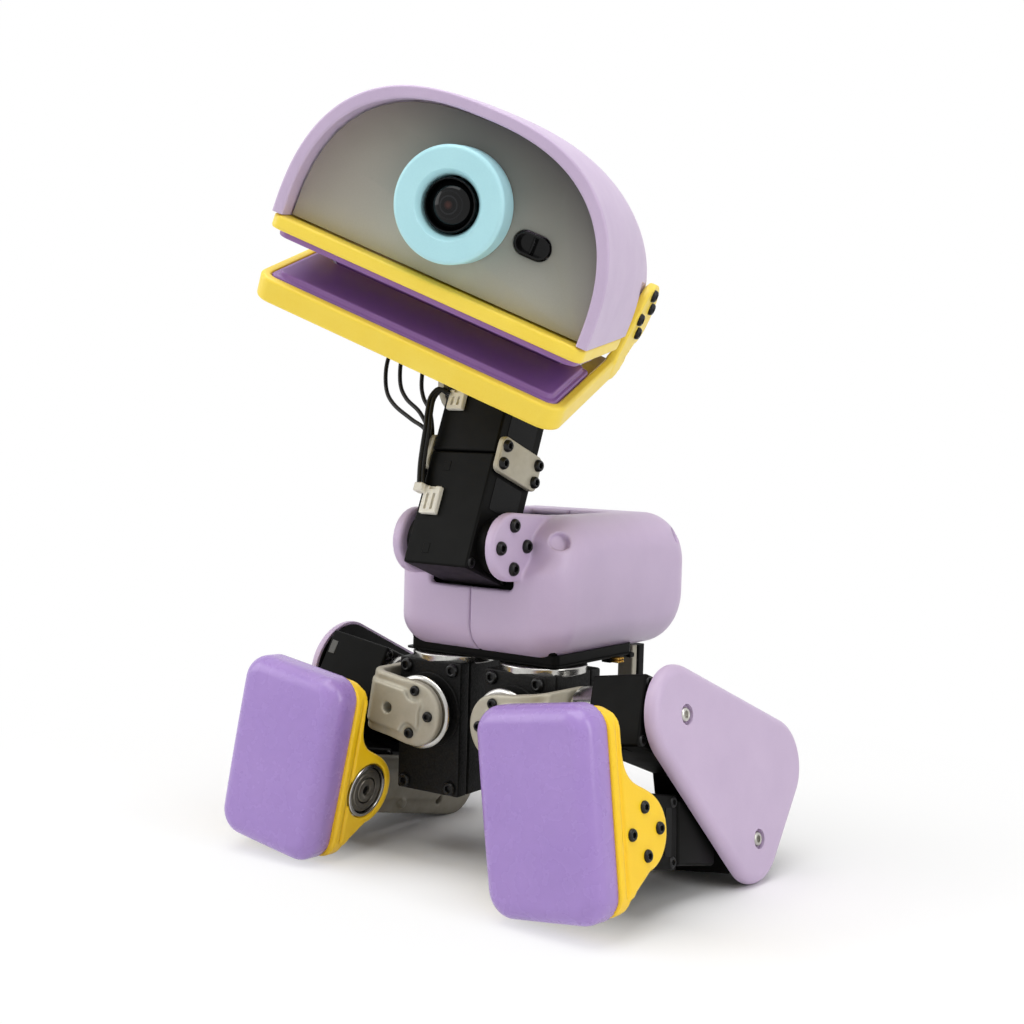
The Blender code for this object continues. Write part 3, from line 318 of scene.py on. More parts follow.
class Finish:
    """Material whose node tree is written as expressions."""

    def __init__(self, name, **settings):
        self.material = bpy.data.materials.new(name)
        self.material.use_nodes = True
        self.tree = self.material.node_tree
        self.shader = self.tree.nodes["Principled BSDF"]
        self.shade(**settings)

    def feed(self, socket, value):
        if isinstance(value, Wire):
            self.tree.links.new(value.socket, socket)
        else:
            socket.default_value = value

    def node(self, kind, settings=None, sockets=None, output=0):
        """Adds a node with its settings, then its sockets' values or links."""
        made = self.tree.nodes.new(kind)
        for key, value in (settings or {}).items():
            setattr(made, key, value)
        for key, value in (sockets or {}).items():
            self.feed(made.inputs[key], value)
        return Wire(self, made.outputs[output])

    def shade(self, **sockets):
        """Sets the main shader's sockets, with underscores for the spaces in their names."""
        for key, value in sockets.items():
            self.feed(self.shader.inputs[key.replace("_", " ")], value)

    def place(self):
        """Rest position of a surface point on its piece, in metres."""
        return self.node("ShaderNodeTexCoord", output="Object")

    def noise(self, size_mm, detail=2.0, rough=0.5):
        """Noise of about 0 to 1 whose blotches have a size in millimetres."""
        sockets = {"Vector": self.place(), "Scale": 1000.0 / size_mm, "Detail": detail, "Roughness": rough}
        return self.node("ShaderNodeTexNoise", sockets=sockets)

    def mix(self, factor, first, second):
        """Colour between two colours."""
        return self.node("ShaderNodeMix", {"data_type": "RGBA"}, {0: factor, 6: first, 7: second}, 2)

    def ramp(self, value, low, high):
        """Value stretched so that low gives 0 and high gives 1."""
        sockets = {"Value": value, "From Min": low, "From Max": high}
        return self.node("ShaderNodeMapRange", {"clamp": True}, sockets)

    def bump(self, height, depth_mm):
        """Feeds the surface normal from a height."""
        sockets = {"Height": height, "Distance": depth_mm * MM, "Strength": 1.0}
        self.shade(Normal=self.node("ShaderNodeBump", sockets=sockets))


def paint(red, green, blue):
    """Shader colour from a screen colour of 0 to 255."""
    def linear(value):
        share = value / 255
        return share / 12.92 if share <= 0.04045 else ((share + 0.055) / 1.055) ** 2.4
    return (linear(red), linear(green), linear(blue), 1.0)


def moulded(name, colour, shade, roughness, grain_mm, grain_depth, blotch_mm=14.0, **settings):
    """Moulded plastic or rubber: soft colour drift, uneven gloss and a fine grain."""
    finish = Finish(name, **settings)
    drift = finish.ramp(finish.noise(blotch_mm, 3.0), 0.3, 0.7)
    fleck = finish.ramp(finish.noise(0.5, 2.0), 0.35, 0.65)
    colour_now = finish.mix(drift * 0.75 + fleck * 0.25, paint(*shade), paint(*colour))
    gloss = roughness + (finish.noise(5.0, 4.0) - 0.5) * 0.16
    finish.shade(Base_Color=colour_now, Roughness=gloss)
    finish.bump(finish.noise(grain_mm, 3.0, 0.6), grain_depth)
    return finish.material


def pebbled(name, colour, shade, roughness, pebble_mm, depth, **settings):
    """Black plastic with the pebbled grain of a moulded servo case."""
    finish = Finish(name, **settings)
    sockets = {"Vector": finish.place(), "Scale": 1000.0 / pebble_mm}
    pebble = finish.node("ShaderNodeTexVoronoi", {"feature": "SMOOTH_F1"}, sockets)
    # Painted shade: the pits between pebbles take the darker colour.
    tone = finish.mix(finish.ramp(pebble, 0.1, 0.7), paint(*colour), paint(*shade))
    finish.shade(Base_Color=tone, Roughness=roughness + (pebble - 0.4) * 0.2)
    finish.bump(1 - pebble, depth)
    return finish.material


def metal(name, colour, shade, roughness, grain_mm, depth, metallic=1.0):
    """Turned or blasted metal with a fine grain and faint handling marks."""
    finish = Finish(name, Metallic=metallic)
    marks = finish.ramp(finish.noise(7.0, 6.0, 0.7), 0.35, 0.75)
    finish.shade(Base_Color=finish.mix(marks, paint(*shade), paint(*colour)))
    finish.shade(Roughness=roughness + (1 - marks) * 0.12)
    finish.bump(finish.noise(grain_mm, 3.0), depth)
    return finish.material


def frosted_face():
    """Smoked frosted sheet whose light and shade are painted: dark towards its top right, pale low on its
    left, warm beside the rim.
    """
    finish = Finish("smoked_face", Specular_IOR_Level=0.3)
    middle = EYE.translation * MM
    lift = finish.node("ShaderNodeVectorMath", {"operation": "SUBTRACT"}, {0: finish.place(), 1: middle})

    def along(way):
        aim = EYE.to_3x3() @ Vector(way)
        return finish.node("ShaderNodeVectorMath", {"operation": "DOT_PRODUCT"}, {0: lift, 1: aim}, "Value")

    cloud = (finish.noise(34.0) - 0.5) * 0.010
    # Painted shade: the sheet darkens towards its top.
    height = finish.ramp(along((0.16, 0.0, 0.98)) + cloud, -0.022, 0.026)
    tone = finish.mix(height, paint(182, 181, 170), paint(84, 84, 80))
    # Painted light: a warm cast beside the rim.
    warm = finish.ramp(along((-1.0, 0.0, 0.25)) + cloud, 0.012, 0.040)
    tone = finish.mix(warm * 0.55, tone, paint(158, 146, 134))
    # Painted light: the sheet pales low down.
    low = finish.ramp(along((0.0, 0.0, -1.0)) + cloud * 0.5, 0.012, 0.021)
    tone = finish.mix(low * 0.35, tone, paint(184, 181, 160))
    speck = finish.ramp(finish.noise(0.35, 2.0), 0.3, 0.7)
    finish.shade(Base_Color=finish.mix(speck * 0.08, tone, paint(120, 118, 110)))
    finish.shade(Roughness=0.55 + (finish.noise(3.0, 4.0) - 0.5) * 0.1)
    finish.bump(finish.noise(0.4, 2.0), 0.004)
    return finish.material


def coated_glass():
    """Front glass of the camera: black, with pale rings and a warm centre behind it."""
    finish = Finish("lens_glass", Specular_IOR_Level=0.12, Coat_Weight=0.2, Coat_Roughness=0.02)
    middle = EYE.translation * MM
    axis = EYE.to_3x3() @ Vector((0.0, 1.0, 0.0))
    lift = finish.node("ShaderNodeVectorMath", {"operation": "SUBTRACT"}, {0: finish.place(), 1: middle})
    across = finish.node("ShaderNodeVectorMath", {"operation": "CROSS_PRODUCT"}, {0: lift, 1: axis})
    reach = finish.node("ShaderNodeVectorMath", {"operation": "LENGTH"}, {0: across}, "Value")
    tone = finish.mix(finish.ramp(reach, 0.0004, 0.0013), paint(58, 34, 30), paint(7, 7, 8))
    for inner, width, colour in ((0.0023, 0.0003, (36, 37, 39)), (0.0036, 0.00025, (22, 23, 25))):
        ring = finish.ramp(reach, inner - width, inner) * (1 - finish.ramp(reach, inner, inner + width))
        tone = finish.mix(ring, tone, paint(*colour))
    finish.shade(Base_Color=tone, Roughness=0.08 + (finish.noise(2.0) - 0.5) * 0.03)
    return finish.material


LILAC = moulded("lilac_plastic", (201, 181, 209), (194, 174, 203), 0.40, 0.35, 0.004)
YELLOW = moulded("yellow_plastic", (252, 223, 82), (248, 215, 64), 0.40, 0.4, 0.006)
AMBER = moulded("amber_plastic", (255, 212, 28), (252, 204, 20), 0.40, 0.4, 0.006)
PURPLE = moulded("purple_rubber", (166, 136, 202), (159, 129, 197), 0.27, 0.5, 0.004, 18.0,
                 Specular_IOR_Level=0.5)
PLUM = moulded("plum_rubber", (146, 104, 168), (136, 95, 160), 0.40, 0.5, 0.010, 18.0)
CYAN = moulded("cyan_plastic", (184, 232, 239), (176, 225, 233), 0.38, 0.35, 0.004)
BLACK = moulded("black_plastic", (16, 16, 15), (10, 10, 9), 0.44, 0.4, 0.006, Specular_IOR_Level=0.06)
HOUSING = pebbled("black_housing", (28, 28, 27), (15, 15, 15), 0.46, 0.55, 0.06, Specular_IOR_Level=0.14)
CREAM = metal("cream_metal", (182, 177, 161), (168, 162, 145), 0.44, 0.3, 0.008, 0.3)
# Darker copy of the cream metal for the shin plate: painted shade.
SHADED_CREAM = metal("cream_metal_painted_shade", (146, 141, 128), (130, 125, 112), 0.44, 0.3, 0.008, 0.3)
STEEL = metal("steel", (205, 204, 200), (170, 168, 164), 0.14, 0.6, 0.002)
SHIELD = metal("bearing_steel", (128, 123, 113), (96, 92, 84), 0.30, 0.4, 0.004, 0.85)
BOLT = metal("black_bolt", (30, 30, 30), (18, 18, 18), 0.26, 0.4, 0.006, 0.5)
SILVER = metal("silver_bolt", (214, 212, 206), (176, 174, 168), 0.24, 0.5, 0.003)
GOLD = metal("gold_pin", (214, 172, 84), (180, 136, 56), 0.28, 0.4, 0.003)
NYLON = moulded("plug_nylon", (232, 228, 216), (216, 211, 198), 0.44, 0.4, 0.006, 6.0)
WIRE = moulded("lead_cover", (24, 24, 24), (16, 16, 16), 0.36, 0.6, 0.004, 6.0, Specular_IOR_Level=0.2)
BOARD = moulded("board", (22, 24, 23), (15, 17, 16), 0.38, 0.7, 0.006, 4.0, Specular_IOR_Level=0.15)
CELL = moulded("cell_wrap", (62, 78, 110), (52, 66, 96), 0.36, 0.6, 0.006)
LABEL = moulded("bare_label", (12, 12, 12), (8, 8, 8), 0.24, 0.6, 0.002, Specular_IOR_Level=0.1)
LENS = moulded("lens_black", (10, 10, 11), (6, 6, 7), 0.14, 0.5, 0.001, 6.0, Specular_IOR_Level=0.12,
               Coat_Weight=0.15, Coat_Roughness=0.04)
GLASS = coated_glass()
PORT = moulded("port_grey", (104, 104, 102), (88, 88, 86), 0.5, 0.5, 0.004, 4.0, Specular_IOR_Level=0.2)
FACE = frosted_face()


# Pieces
def meshed(name, shape):
    """Smooth mesh from a shape, which is used up."""
    mesh = bpy.data.meshes.new(name)
    shape.to_mesh(mesh)
    shape.free()
    mesh.shade_smooth()
    return mesh


class Seat:
    """Frame of a joint, the body that it carries and a side of the robot, on which pieces are set."""

    def __init__(self, where, body, side=1):
        self.where = where
        self.body = body
        self.side = side

    def stood(self, name, mesh, finish):
        """Object from a mesh made in millimetres, set in metres and mirrored on the right side."""
        spot = self.where.copy()
        spot.translation = self.where.translation * MM
        mesh.transform(spot @ Matrix.Diagonal((self.side * MM, MM, MM, 1.0)))
        if self.side < 0:
            mesh.flip_normals()
        mesh.materials.append(finish)
        made = bpy.data.objects.new(name, mesh)
        bpy.context.scene.collection.objects.link(made)
        return made

    def placed(self, name, mesh, finish, node=None):
        """Piece that rides on the body, and shows in place of a node where one is named."""
        made = self.stood(name, mesh, finish)
        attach(made, self.body)
        if node:
            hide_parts(node)
        return made

    def crisp(self, name, shape, finish, slot, node=None):
        """Piece of flat faces and rounded edges, shaded so that the flats stay flat."""
        mesh = meshed(name, shape)
        mesh.set_sharp_from_angle(angle=math.radians(38))
        made = self.placed(name, mesh, finish, node)
        weigh = made.modifiers.new("even_flats", "WEIGHTED_NORMAL")
        weigh.keep_sharp = True

    def cast(self, name, field, low, high, step, finish, node):
        """Piece whose surface is where a distance field is zero."""
        points, quads = skin(field, low, high, step)
        mesh = bpy.data.meshes.new(name)
        mesh.from_pydata(points.tolist(), [], quads.tolist())
        mesh.shade_smooth()
        self.placed(name, mesh, finish, node)

    def screws(self, name, seats, radius, height=1.3, finish=BOLT):
        """Piece of several screws, each given by a seat and the way it faces."""
        shape = added(*[screw(place, way, radius, height) for place, way in seats])
        self.crisp(name, shape, finish, "steel")


# Distance fields
def skin(field, low, high, step):
    """Quads over the surface where a distance field is zero, drawn onto the surface itself."""
    axes = [np.arange(a - 2 * step, b + 3 * step, step) for a, b in zip(low, high)]
    grid = np.stack(np.meshgrid(*axes, indexing="ij"))
    value = field(*grid)
    cells = tuple(count - 1 for count in value.shape)
    total = np.zeros((3, *cells))
    count = np.zeros(cells)
    crossings = []
    for axis in range(3):
        start = [slice(None)] * 3
        stop = [slice(None)] * 3
        start[axis] = slice(0, -1)
        stop[axis] = slice(1, None)
        first, last = value[tuple(start)], value[tuple(stop)]
        crossed = (first < 0) != (last < 0)
        share = np.where(crossed, first / np.where(crossed, first - last, 1.0), 0.0)
        spot = grid[(slice(None), *start)].copy()
        spot[axis] += share * step
        others = [other for other in range(3) if other != axis]
        for back_a in (0, 1):
            for back_b in (0, 1):
                source = [slice(None)] * 3
                target = [slice(None)] * 3
                for other, back in zip(others, (back_a, back_b)):
                    source[other] = slice(back, cells[other] + back)
                    target[other] = slice(0, cells[other])
                here = crossed[tuple(source)]
                count[tuple(target)] += here
                total[(slice(None), *target)] += np.where(here, spot[(slice(None), *source)], 0.0)
        crossings.append((axis, others, crossed, first < 0))
    used = count > 0
    index = np.full(cells, -1)
    index[used] = np.arange(used.sum())
    points = (total[:, used] / count[used]).T
    quads = []
    for axis, (b, c), crossed, inside in crossings:
        where = np.argwhere(crossed)
        fits = (where[:, b] > 0) & (where[:, c] > 0) & (where[:, b] < cells[b]) & (where[:, c] < cells[c])
        where = where[fits]
        ring = []
        for back_b, back_c in ((0, 0), (1, 0), (1, 1), (0, 1)):
            cell = where.copy()
            cell[:, b] -= back_b
            cell[:, c] -= back_c
            ring.append(index[tuple(cell.T)])
        ring = np.stack(ring, 1)
        outward = inside[tuple(where.T)] ^ (axis == 1)
        ring[~outward] = ring[~outward][:, ::-1]
        quads.append(ring)
    for turn in range(3):
        points = drawn_to(field, points, step)
    return points, np.concatenate(quads)


def drawn_to(field, points, step):
    """Points moved along the field's slope onto its zero surface."""
    nudge = 0.02 * step
    here = field(*points.T)
    slope = np.stack([(field(*(points + nudge * way).T) - here) / nudge for way in np.eye(3)], 1)
    steep = np.maximum((slope ** 2).sum(1), 0.25)
    move = np.clip(here / steep, -0.5 * step, 0.5 * step)
    return points - move[:, None] * slope


def away(*parts):
    """Length of a vector given by its parts."""
    return np.sqrt(sum(part * part for part in parts))


def rectangle(u, v, low, high, corner):
    """Distance from a flat rectangle with round corners."""
    a = np.abs(u - (low[0] + high[0]) / 2) - (high[0] - low[0]) / 2 + corner
    b = np.abs(v - (low[1] + high[1]) / 2) - (high[1] - low[1]) / 2 + corner
    return np.minimum(np.maximum(a, b), 0) + away(np.maximum(a, 0), np.maximum(b, 0)) - corner


def round_spot(u, v, centre, radius):
    """Distance from a flat disc."""
    return away(u - centre[0], v - centre[1]) - radius


def strap(u, v, first, last, radius, last_radius=None):
    """Distance from a flat bar with round ends, which may taper."""
    along = (last[0] - first[0], last[1] - first[1])
    span = along[0] ** 2 + along[1] ** 2
    share = np.clip(((u - first[0]) * along[0] + (v - first[1]) * along[1]) / span, 0, 1)
    width = radius if last_radius is None else radius + (last_radius - radius) * share
    return away(u - first[0] - share * along[0], v - first[1] - share * along[1]) - width


def slab(flat, depth, low, high, edge):
    """Distance from a flat outline thickened between two depths, with round edges."""
    a = flat + edge
    b = np.abs(depth - (low + high) / 2) - (high - low) / 2 + edge
    return np.minimum(np.maximum(a, b), 0) + away(np.maximum(a, 0), np.maximum(b, 0)) - edge


def fused(a, b, soft):
    """Union whose inner corner is filled over a width."""
    near = np.maximum(soft - np.abs(a - b), 0) / soft
    return np.minimum(a, b) - near * near * soft / 4


def carved(a, b, soft):
    """First body less the second, with its edge eased over a width."""
    return -fused(-a, b, soft)


def shared(a, b, soft):
    """Overlap of two bodies, with its edge eased over a width."""
    return -fused(-a, -b, soft)


# Shapes of flat and turned faces
def circle(centre, radius, count):
    """Points round a circle in a plane."""
    angles = [2 * math.pi * index / count for index in range(count)]
    return [(centre[0] + radius * math.cos(a), centre[1] + radius * math.sin(a)) for a in angles]


def hull(points):
    """Convex outline round points in a plane, counter-clockwise."""
    ordered = sorted(set((round(x, 5), round(y, 5)) for x, y in points))

    def half(sequence):
        chain = []
        for point in sequence:
            while len(chain) > 1:
                first, second = chain[-2], chain[-1]
                turn = (second[0] - first[0]) * (point[1] - first[1])
                turn -= (second[1] - first[1]) * (point[0] - first[0])
                if turn > 1e-6:
                    break
                chain.pop()
            chain.append(point)
        return chain[:-1]

    return half(ordered) + half(reversed(ordered))


def rounded(low, high, corner, count=32):
    """Rectangle outline with round corners."""
    points = []
    for x in (low[0] + corner, high[0] - corner):
        for y in (low[1] + corner, high[1] - corner):
            points += circle((x, y), corner, count)
    return hull(points)


def along_axis(axis, point, depth):
    """Space point from a point in the plane across an axis and a place along that axis."""
    if axis == "x":
        return Vector((depth, point[0], point[1]))
    if axis == "y":
        return Vector((point[0], depth, point[1]))
    return Vector((point[0], point[1], depth))


def prism(outline, axis, low, high, low_edge=0.0, high_edge=0.0, steps=3):
    """Outline extruded along an axis, with either end's edge rounded."""
    shape = bmesh.new()
    ends = [[shape.verts.new(along_axis(axis, point, depth)) for point in outline] for depth in (low, high)]
    caps = [shape.faces.new(end) for end in ends]
    for index in range(len(outline)):
        after = (index + 1) % len(outline)
        shape.faces.new((ends[0][index], ends[0][after], ends[1][after], ends[1][index]))
    bmesh.ops.recalc_face_normals(shape, faces=shape.faces)
    for cap, width in zip(caps, (low_edge, high_edge)):
        if width > 0:
            bmesh.ops.bevel(shape, geom=list(cap.edges), offset=width, segments=steps, profile=0.5,
                            affect="EDGES", clamp_overlap=True)
    return shape


def block(low, high, edge, steps=1):
    """Box between two corners, with its edges rounded."""
    shape = bmesh.new()
    bmesh.ops.create_cube(shape, size=1.0)
    bmesh.ops.scale(shape, vec=Vector(high) - Vector(low), verts=shape.verts)
    bmesh.ops.translate(shape, vec=(Vector(high) + Vector(low)) / 2, verts=shape.verts)
    bmesh.ops.bevel(shape, geom=list(shape.edges), offset=edge, segments=steps, profile=0.5,
                    affect="EDGES", clamp_overlap=True)
    return shape


def turned(profile, count, flat_rows=()):
    """Profile of radius and height spun round Z; chosen rows take six flats."""
    shape = bmesh.new()
    rings = []
    for index in range(count):
        angle = 2 * math.pi * index / count
        flat = math.cos(math.pi / 6) / math.cos((angle + math.pi / 6) % (math.pi / 3) - math.pi / 6)
        ring = []
        for row, (radius, height) in enumerate(profile):
            reach = radius * flat if row in flat_rows else radius
            ring.append(shape.verts.new((reach * math.cos(angle), reach * math.sin(angle), height)))
        rings.append(ring)
    for index in range(count):
        here, there = rings[index], rings[(index + 1) % count]
        for row in range(len(profile) - 1):
            shape.faces.new((here[row], here[row + 1], there[row + 1], there[row]))
    bmesh.ops.remove_doubles(shape, verts=shape.verts, dist=1e-5)
    bmesh.ops.recalc_face_normals(shape, faces=shape.faces)
    return shape


def added(*shapes):
    """Several shapes in one mesh."""
    whole = shapes[0]
    for shape in shapes[1:]:
        mesh = bpy.data.meshes.new("part_of_piece")
        shape.to_mesh(mesh)
        shape.free()
        whole.from_mesh(mesh)
        bpy.data.meshes.remove(mesh)
    return whole


def turned_to(shape, way, place, long_way=None):
    """Turns a shape so that its +Z runs along a direction, and its +Y along another, at a place."""
    axis = Vector(way).normalized()
    guide = Vector(long_way) if long_way else (Vector((0, 1, 0)) if abs(axis.z) > 0.9 else Vector((0, 0, 1)))
    ahead = (guide - axis * guide.dot(axis)).normalized()
    spin = Matrix((ahead.cross(axis), ahead, axis)).transposed().to_4x4()
    bmesh.ops.transform(shape, matrix=Matrix.Translation(Vector(place)) @ spin, verts=shape.verts)
    return shape


def cut_with(shape, *tools):
    """Shape with others taken out of it."""
    for tool in tools:
        pair = []
        for item in (shape, tool):
            mesh = bpy.data.meshes.new("scratch")
            item.to_mesh(mesh)
            item.free()
            pair.append(bpy.data.objects.new("scratch", mesh))
            bpy.context.scene.collection.objects.link(pair[-1])
        step = pair[0].modifiers.new("cut", "BOOLEAN")
        step.operation = "DIFFERENCE"
        step.object = pair[1]
        result = pair[0].evaluated_get(bpy.context.evaluated_depsgraph_get())
        mesh = bpy.data.meshes.new_from_object(result)
        shape = bmesh.new()
        shape.from_mesh(mesh)
        bpy.data.meshes.remove(mesh)
        for item in pair:
            data = item.data
            bpy.data.objects.remove(item, do_unlink=True)
            bpy.data.meshes.remove(data)
    return shape


# Screws
def screw(place, way, radius, height):
    """Button-head screw with a hexagon socket, its seat at a place."""
    socket = 0.52 * radius
    head = ((0.0, 0.25), (socket, 0.25), (socket, 0.86), (socket + 0.12, 0.95), (0.66 * radius, 0.98),
            (0.82 * radius, 0.86), (0.94 * radius, 0.6), (radius, 0.28))
    profile = [(reach, share * height) for reach, share in head]
    profile += [(radius, -SCREW_SUNK), (0.0, -SCREW_SUNK)]
    return turned_to(turned(profile, 24, flat_rows=(1, 2)), way, place)


def screw_ring(face, centre, reach):
    """Seats of four screws round a centre on a face across X."""
    seats = []
    for turn in range(4):
        angle = math.pi / 2 * turn
        y = centre[0] + reach * math.cos(angle)
        z = centre[1] + reach * math.sin(angle)
        seats.append(((face, y, z), (1, 0, 0)))
    return seats


# Leads
def smooth_route(points, per_span):
    """Points of a smooth curve through a route's own points."""
    route = [Vector(point) for point in points]
    padded = [2 * route[0] - route[1]] + route + [2 * route[-1] - route[-2]]
    curve = []
    for index in range(1, len(padded) - 2):
        p0, p1, p2, p3 = padded[index - 1:index + 3]
        for step in range(per_span):
            t = step / per_span
            bend = 2 * p0 - 5 * p1 + 4 * p2 - p3
            twist = 3 * p1 - 3 * p2 + p3 - p0
            curve.append(0.5 * (2 * p1 + (p2 - p0) * t + bend * t * t + twist * t ** 3))
    return curve + [route[-1]]


def tube(route, diameter, sides=12):
    """Round tube along a route, closed at both ends."""
    shape = bmesh.new()
    rings = []
    guide = Vector((0.3, 0.9, 0.2))
    for index, spot in enumerate(route):
        ahead = (route[min(index + 1, len(route) - 1)] - route[max(index - 1, 0)]).normalized()
        across = (guide - ahead * guide.dot(ahead)).normalized()
        guide = across
        over = ahead.cross(across)
        ring = []
        for corner in range(sides):
            angle = 2 * math.pi * corner / sides
            reach = across * math.cos(angle) + over * math.sin(angle)
            ring.append(shape.verts.new(spot + reach * diameter / 2))
        rings.append(ring)
    for here, there in zip(rings, rings[1:]):
        for corner in range(sides):
            after = (corner + 1) % sides
            shape.faces.new((here[corner], here[after], there[after], there[corner]))
    shape.faces.new(list(reversed(rings[0])))
    shape.faces.new(rings[-1])
    bmesh.ops.recalc_face_normals(shape, faces=shape.faces)
    return shape


def lead_route(index, bulge, low, top):
    """Route of one lead, from its clip on the neck round its loop to the head."""
    front = -11.2 + 1.7 * index
    climb = [(LEAD_RUN - 0.3 * bulge, low + 0.4), (LEAD_RUN - 0.66 * bulge, low + 4.8),
             (LEAD_RUN - 0.88 * bulge, low + 9.8), (LEAD_RUN - bulge, low + 18.0),
             (LEAD_RUN - 0.95 * bulge, top - 15.0), (LEAD_RUN - 0.7 * bulge, top - 7.0),
             (LEAD_RUN - 0.1 * bulge, top - 1.0), (-11.8, top)]
    start = [(LEAD_CASE, front + 7.0, 10.8), (LEAD_RUN + 0.4, front + 4.0, 16.0),
             (LEAD_RUN, front + 1.0, 24.0), (LEAD_RUN, front, 30.0)]
    return start + [(x, front, z) for x, z in climb]


def in_model(where, point):
    """Point of a frame in the model's frame, in metres."""
    return where @ Vector(point) * MM


def make_leads():
    """Three looping leads, and the three strands of the upper plug's lead."""
    on = Seat(NECK, "neck")
    for index, (bulge, low, top) in enumerate(LEAD_LOOPS):
        route = smooth_route(lead_route(index, bulge, low, top), 6)
        made = on.stood("lead_%d" % (index + 1), meshed("lead", tube(route, LEAD_DIAMETER)), WIRE)
        in_model(NECK, LEAD_BEND_LOW)
        in_model(NECK, LEAD_BEND_HIGH)
        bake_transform(made)
        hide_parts("head_lead_%d" % (index + 1))
        path = [in_model(NECK, point) for point in route]
        length = sum((b - a).length for a, b in zip(path, path[1:]))
    strands = []
    for turn in range(3):
        angle = 2 * math.pi * turn / 3
        offset = Vector((math.cos(angle), math.sin(angle), 0.0)) * STRAND_OFFSET
        route = [point + offset for point in smooth_route(PLUG_ROUTE, 5)]
        strands.append(tube(route, LEAD_DIAMETER))
    on.crisp("plug_strands", added(*strands), WIRE, "lead_rubber", "plug_lead")


make_leads()


# Torso
def torso_body(x, y, z):
    """Distance from the torso's closed outer form."""
    middle_y, middle_z = (TORSO_FRONT + TORSO_REAR) / 2, (TORSO_BOTTOM + TORSO_TOP) / 2
    corner = np.where(y > middle_y, REAR_CORNER, np.where(z > middle_z, FRONT_TOP_CORNER, FRONT_LOW_CORNER))
    flank = rectangle(y, z, (TORSO_FRONT, TORSO_BOTTOM), (TORSO_REAR, TORSO_TOP), corner)
    return slab(flank, x, -TORSO_HALF_WIDTH, TORSO_HALF_WIDTH, FLANK_EDGE)


def bore(x, y, z, place, way, radius, depth):
    """Distance from a round bore that opens outward along a direction."""
    axis = Vector(way).normalized()
    along = (x - place[0]) * axis.x + (y - place[1]) * axis.y + (z - place[2]) * axis.z
    reach = away(x - place[0], y - place[1], z - place[2])
    return slab(np.sqrt(np.maximum(reach * reach - along * along, 0)) - radius, along, -depth, FAR, 0.4)


def torso_shell(x, y, z):
    """Distance from the left half of the torso shell."""
    body = torso_body(x, y, z)
    pivot = (NECK_PIVOT[1], NECK_PIVOT[2])
    ear = slab(strap(y, z, pivot, EAR_ROOT, EAR_RADIUS, EAR_ROOT_RADIUS), x, EAR_INNER - 2.0, EAR_OUTER, 0.6)
    body = carved(body, slab(round_spot(y, z, pivot, EAR_SEAT), x, EAR_OUTER - 0.2, 2 * FAR, 0.3), 1.6)
    whole = fused(body, ear, 0.8)
    hollow = body + TORSO_WALL
    for place, way in RECESSES:
        hollow = carved(hollow, bore(x, y, z, place, way, RECESS_BACKING_RADIUS, RECESS_BACKING_DEPTH), 1.0)
    whole = carved(whole, hollow, 0.6)
    slot = rectangle(y, z, (-2 * FAR, SLOT_FLOOR), (SLOT_REAR, 140.0), 2.5)
    whole = carved(whole, slab(slot, x, -EAR_INNER, EAR_INNER, 1.6), 1.2)
    opening = rectangle(x, y, (-24.8, -16.2), (24.8, 23.8), 2.0)
    whole = carved(whole, slab(opening, z, TORSO_BOTTOM - 20, TORSO_BOTTOM + 6, 0.5), 0.5)
    for place, way in RECESSES:
        whole = carved(whole, bore(x, y, z, place, way, RECESS_RADIUS, RECESS_DEPTH), 0.4)
    return shared(whole, HALF_SEAM - x, 0.35)


def hip_bores():
    """Cutters for the two yaw horns, flat at the front so that the rim of the base frame stays whole."""
    bores = []
    for side in SIDES.values():
        edge = circle((side * HIP_PLACE[0], HIP_PLACE[1]), 9.6, 64)
        bores.append(prism(hull([(x, max(y, FRAME_FRONT + 1.4)) for x, y in edge]), "z", 50.0, 70.0))
    return bores


def make_torso():
    """Two shell halves, the ear screws, the black frame below, its pins, the rear post and its strip."""
    low, high = (-1.0, -38.5, TORSO_BOTTOM), (TORSO_HALF_WIDTH, TORSO_REAR, 106.0)
    for name, side in SIDES.items():
        on = Seat(TORSO, "torso", side)
        on.cast("shell_" + name, torso_shell, low, high, 0.7, LILAC, "body_shell_" + name)
        on.screws("ear_screws_" + name, screw_ring(EAR_OUTER, NECK_PIVOT[1:], EAR_SCREW_RING), 2.0)
    on = Seat(TORSO, "torso")
    rim = rounded((-FRAME_HALF_WIDTH, FRAME_FRONT), (FRAME_HALF_WIDTH, FRAME_REAR), 2.0)
    rim = cut_with(prism(rim, "z", 61.7, 64.9, 0.3, 0.0), *hip_bores())
    lip = prism(rounded((-28.8, -18.6), (27.8, FRAME_REAR), 2.0), "z", 61.5, 62.1, 0.2, 0.0)
    stud = block((25.4, 20.0, 60.5), (28.2, 22.6, 62.0), 0.3)
    header = block((23.6, 11.0, 59.8), (26.8, 15.6, 61.8), 0.2)
    frame_shape = added(rim, cut_with(lip, *hip_bores()), stud, header)
    on.crisp("base_frame", frame_shape, BLACK, "black_plastic", "base_board")
    pins = []
    for y in PIN_ROW:
        for z in PIN_LEVELS:
            pin = turned([(0.0, 0.0), (0.32, 0.0), (0.32, 2.4), (0.2, 2.6), (0.0, 2.6)], 12)
            pins.append(turned_to(pin, (1, 0, 0), (26.6, y, z)))
    on.crisp("header_pins", added(*pins), GOLD, "steel")
    x, y = POST_PLACE
    post = rounded((x - 3.2, y - 0.6), (x + 3.2, y + 3.4), 0.8, 16)
    on.crisp("rear_post", prism(post, "z", POST_FOOT, POST_TOP, 0.3), BLACK, "steel", "tail_post")
    strip = rounded((x - 2.6, y - 3.4), (x + 2.9, y - 0.7), 0.5, 16)
    on.crisp("rear_strip", prism(strip, "z", POST_FOOT, POST_TOP, 0.2), CREAM, "cream_metal")


make_torso()


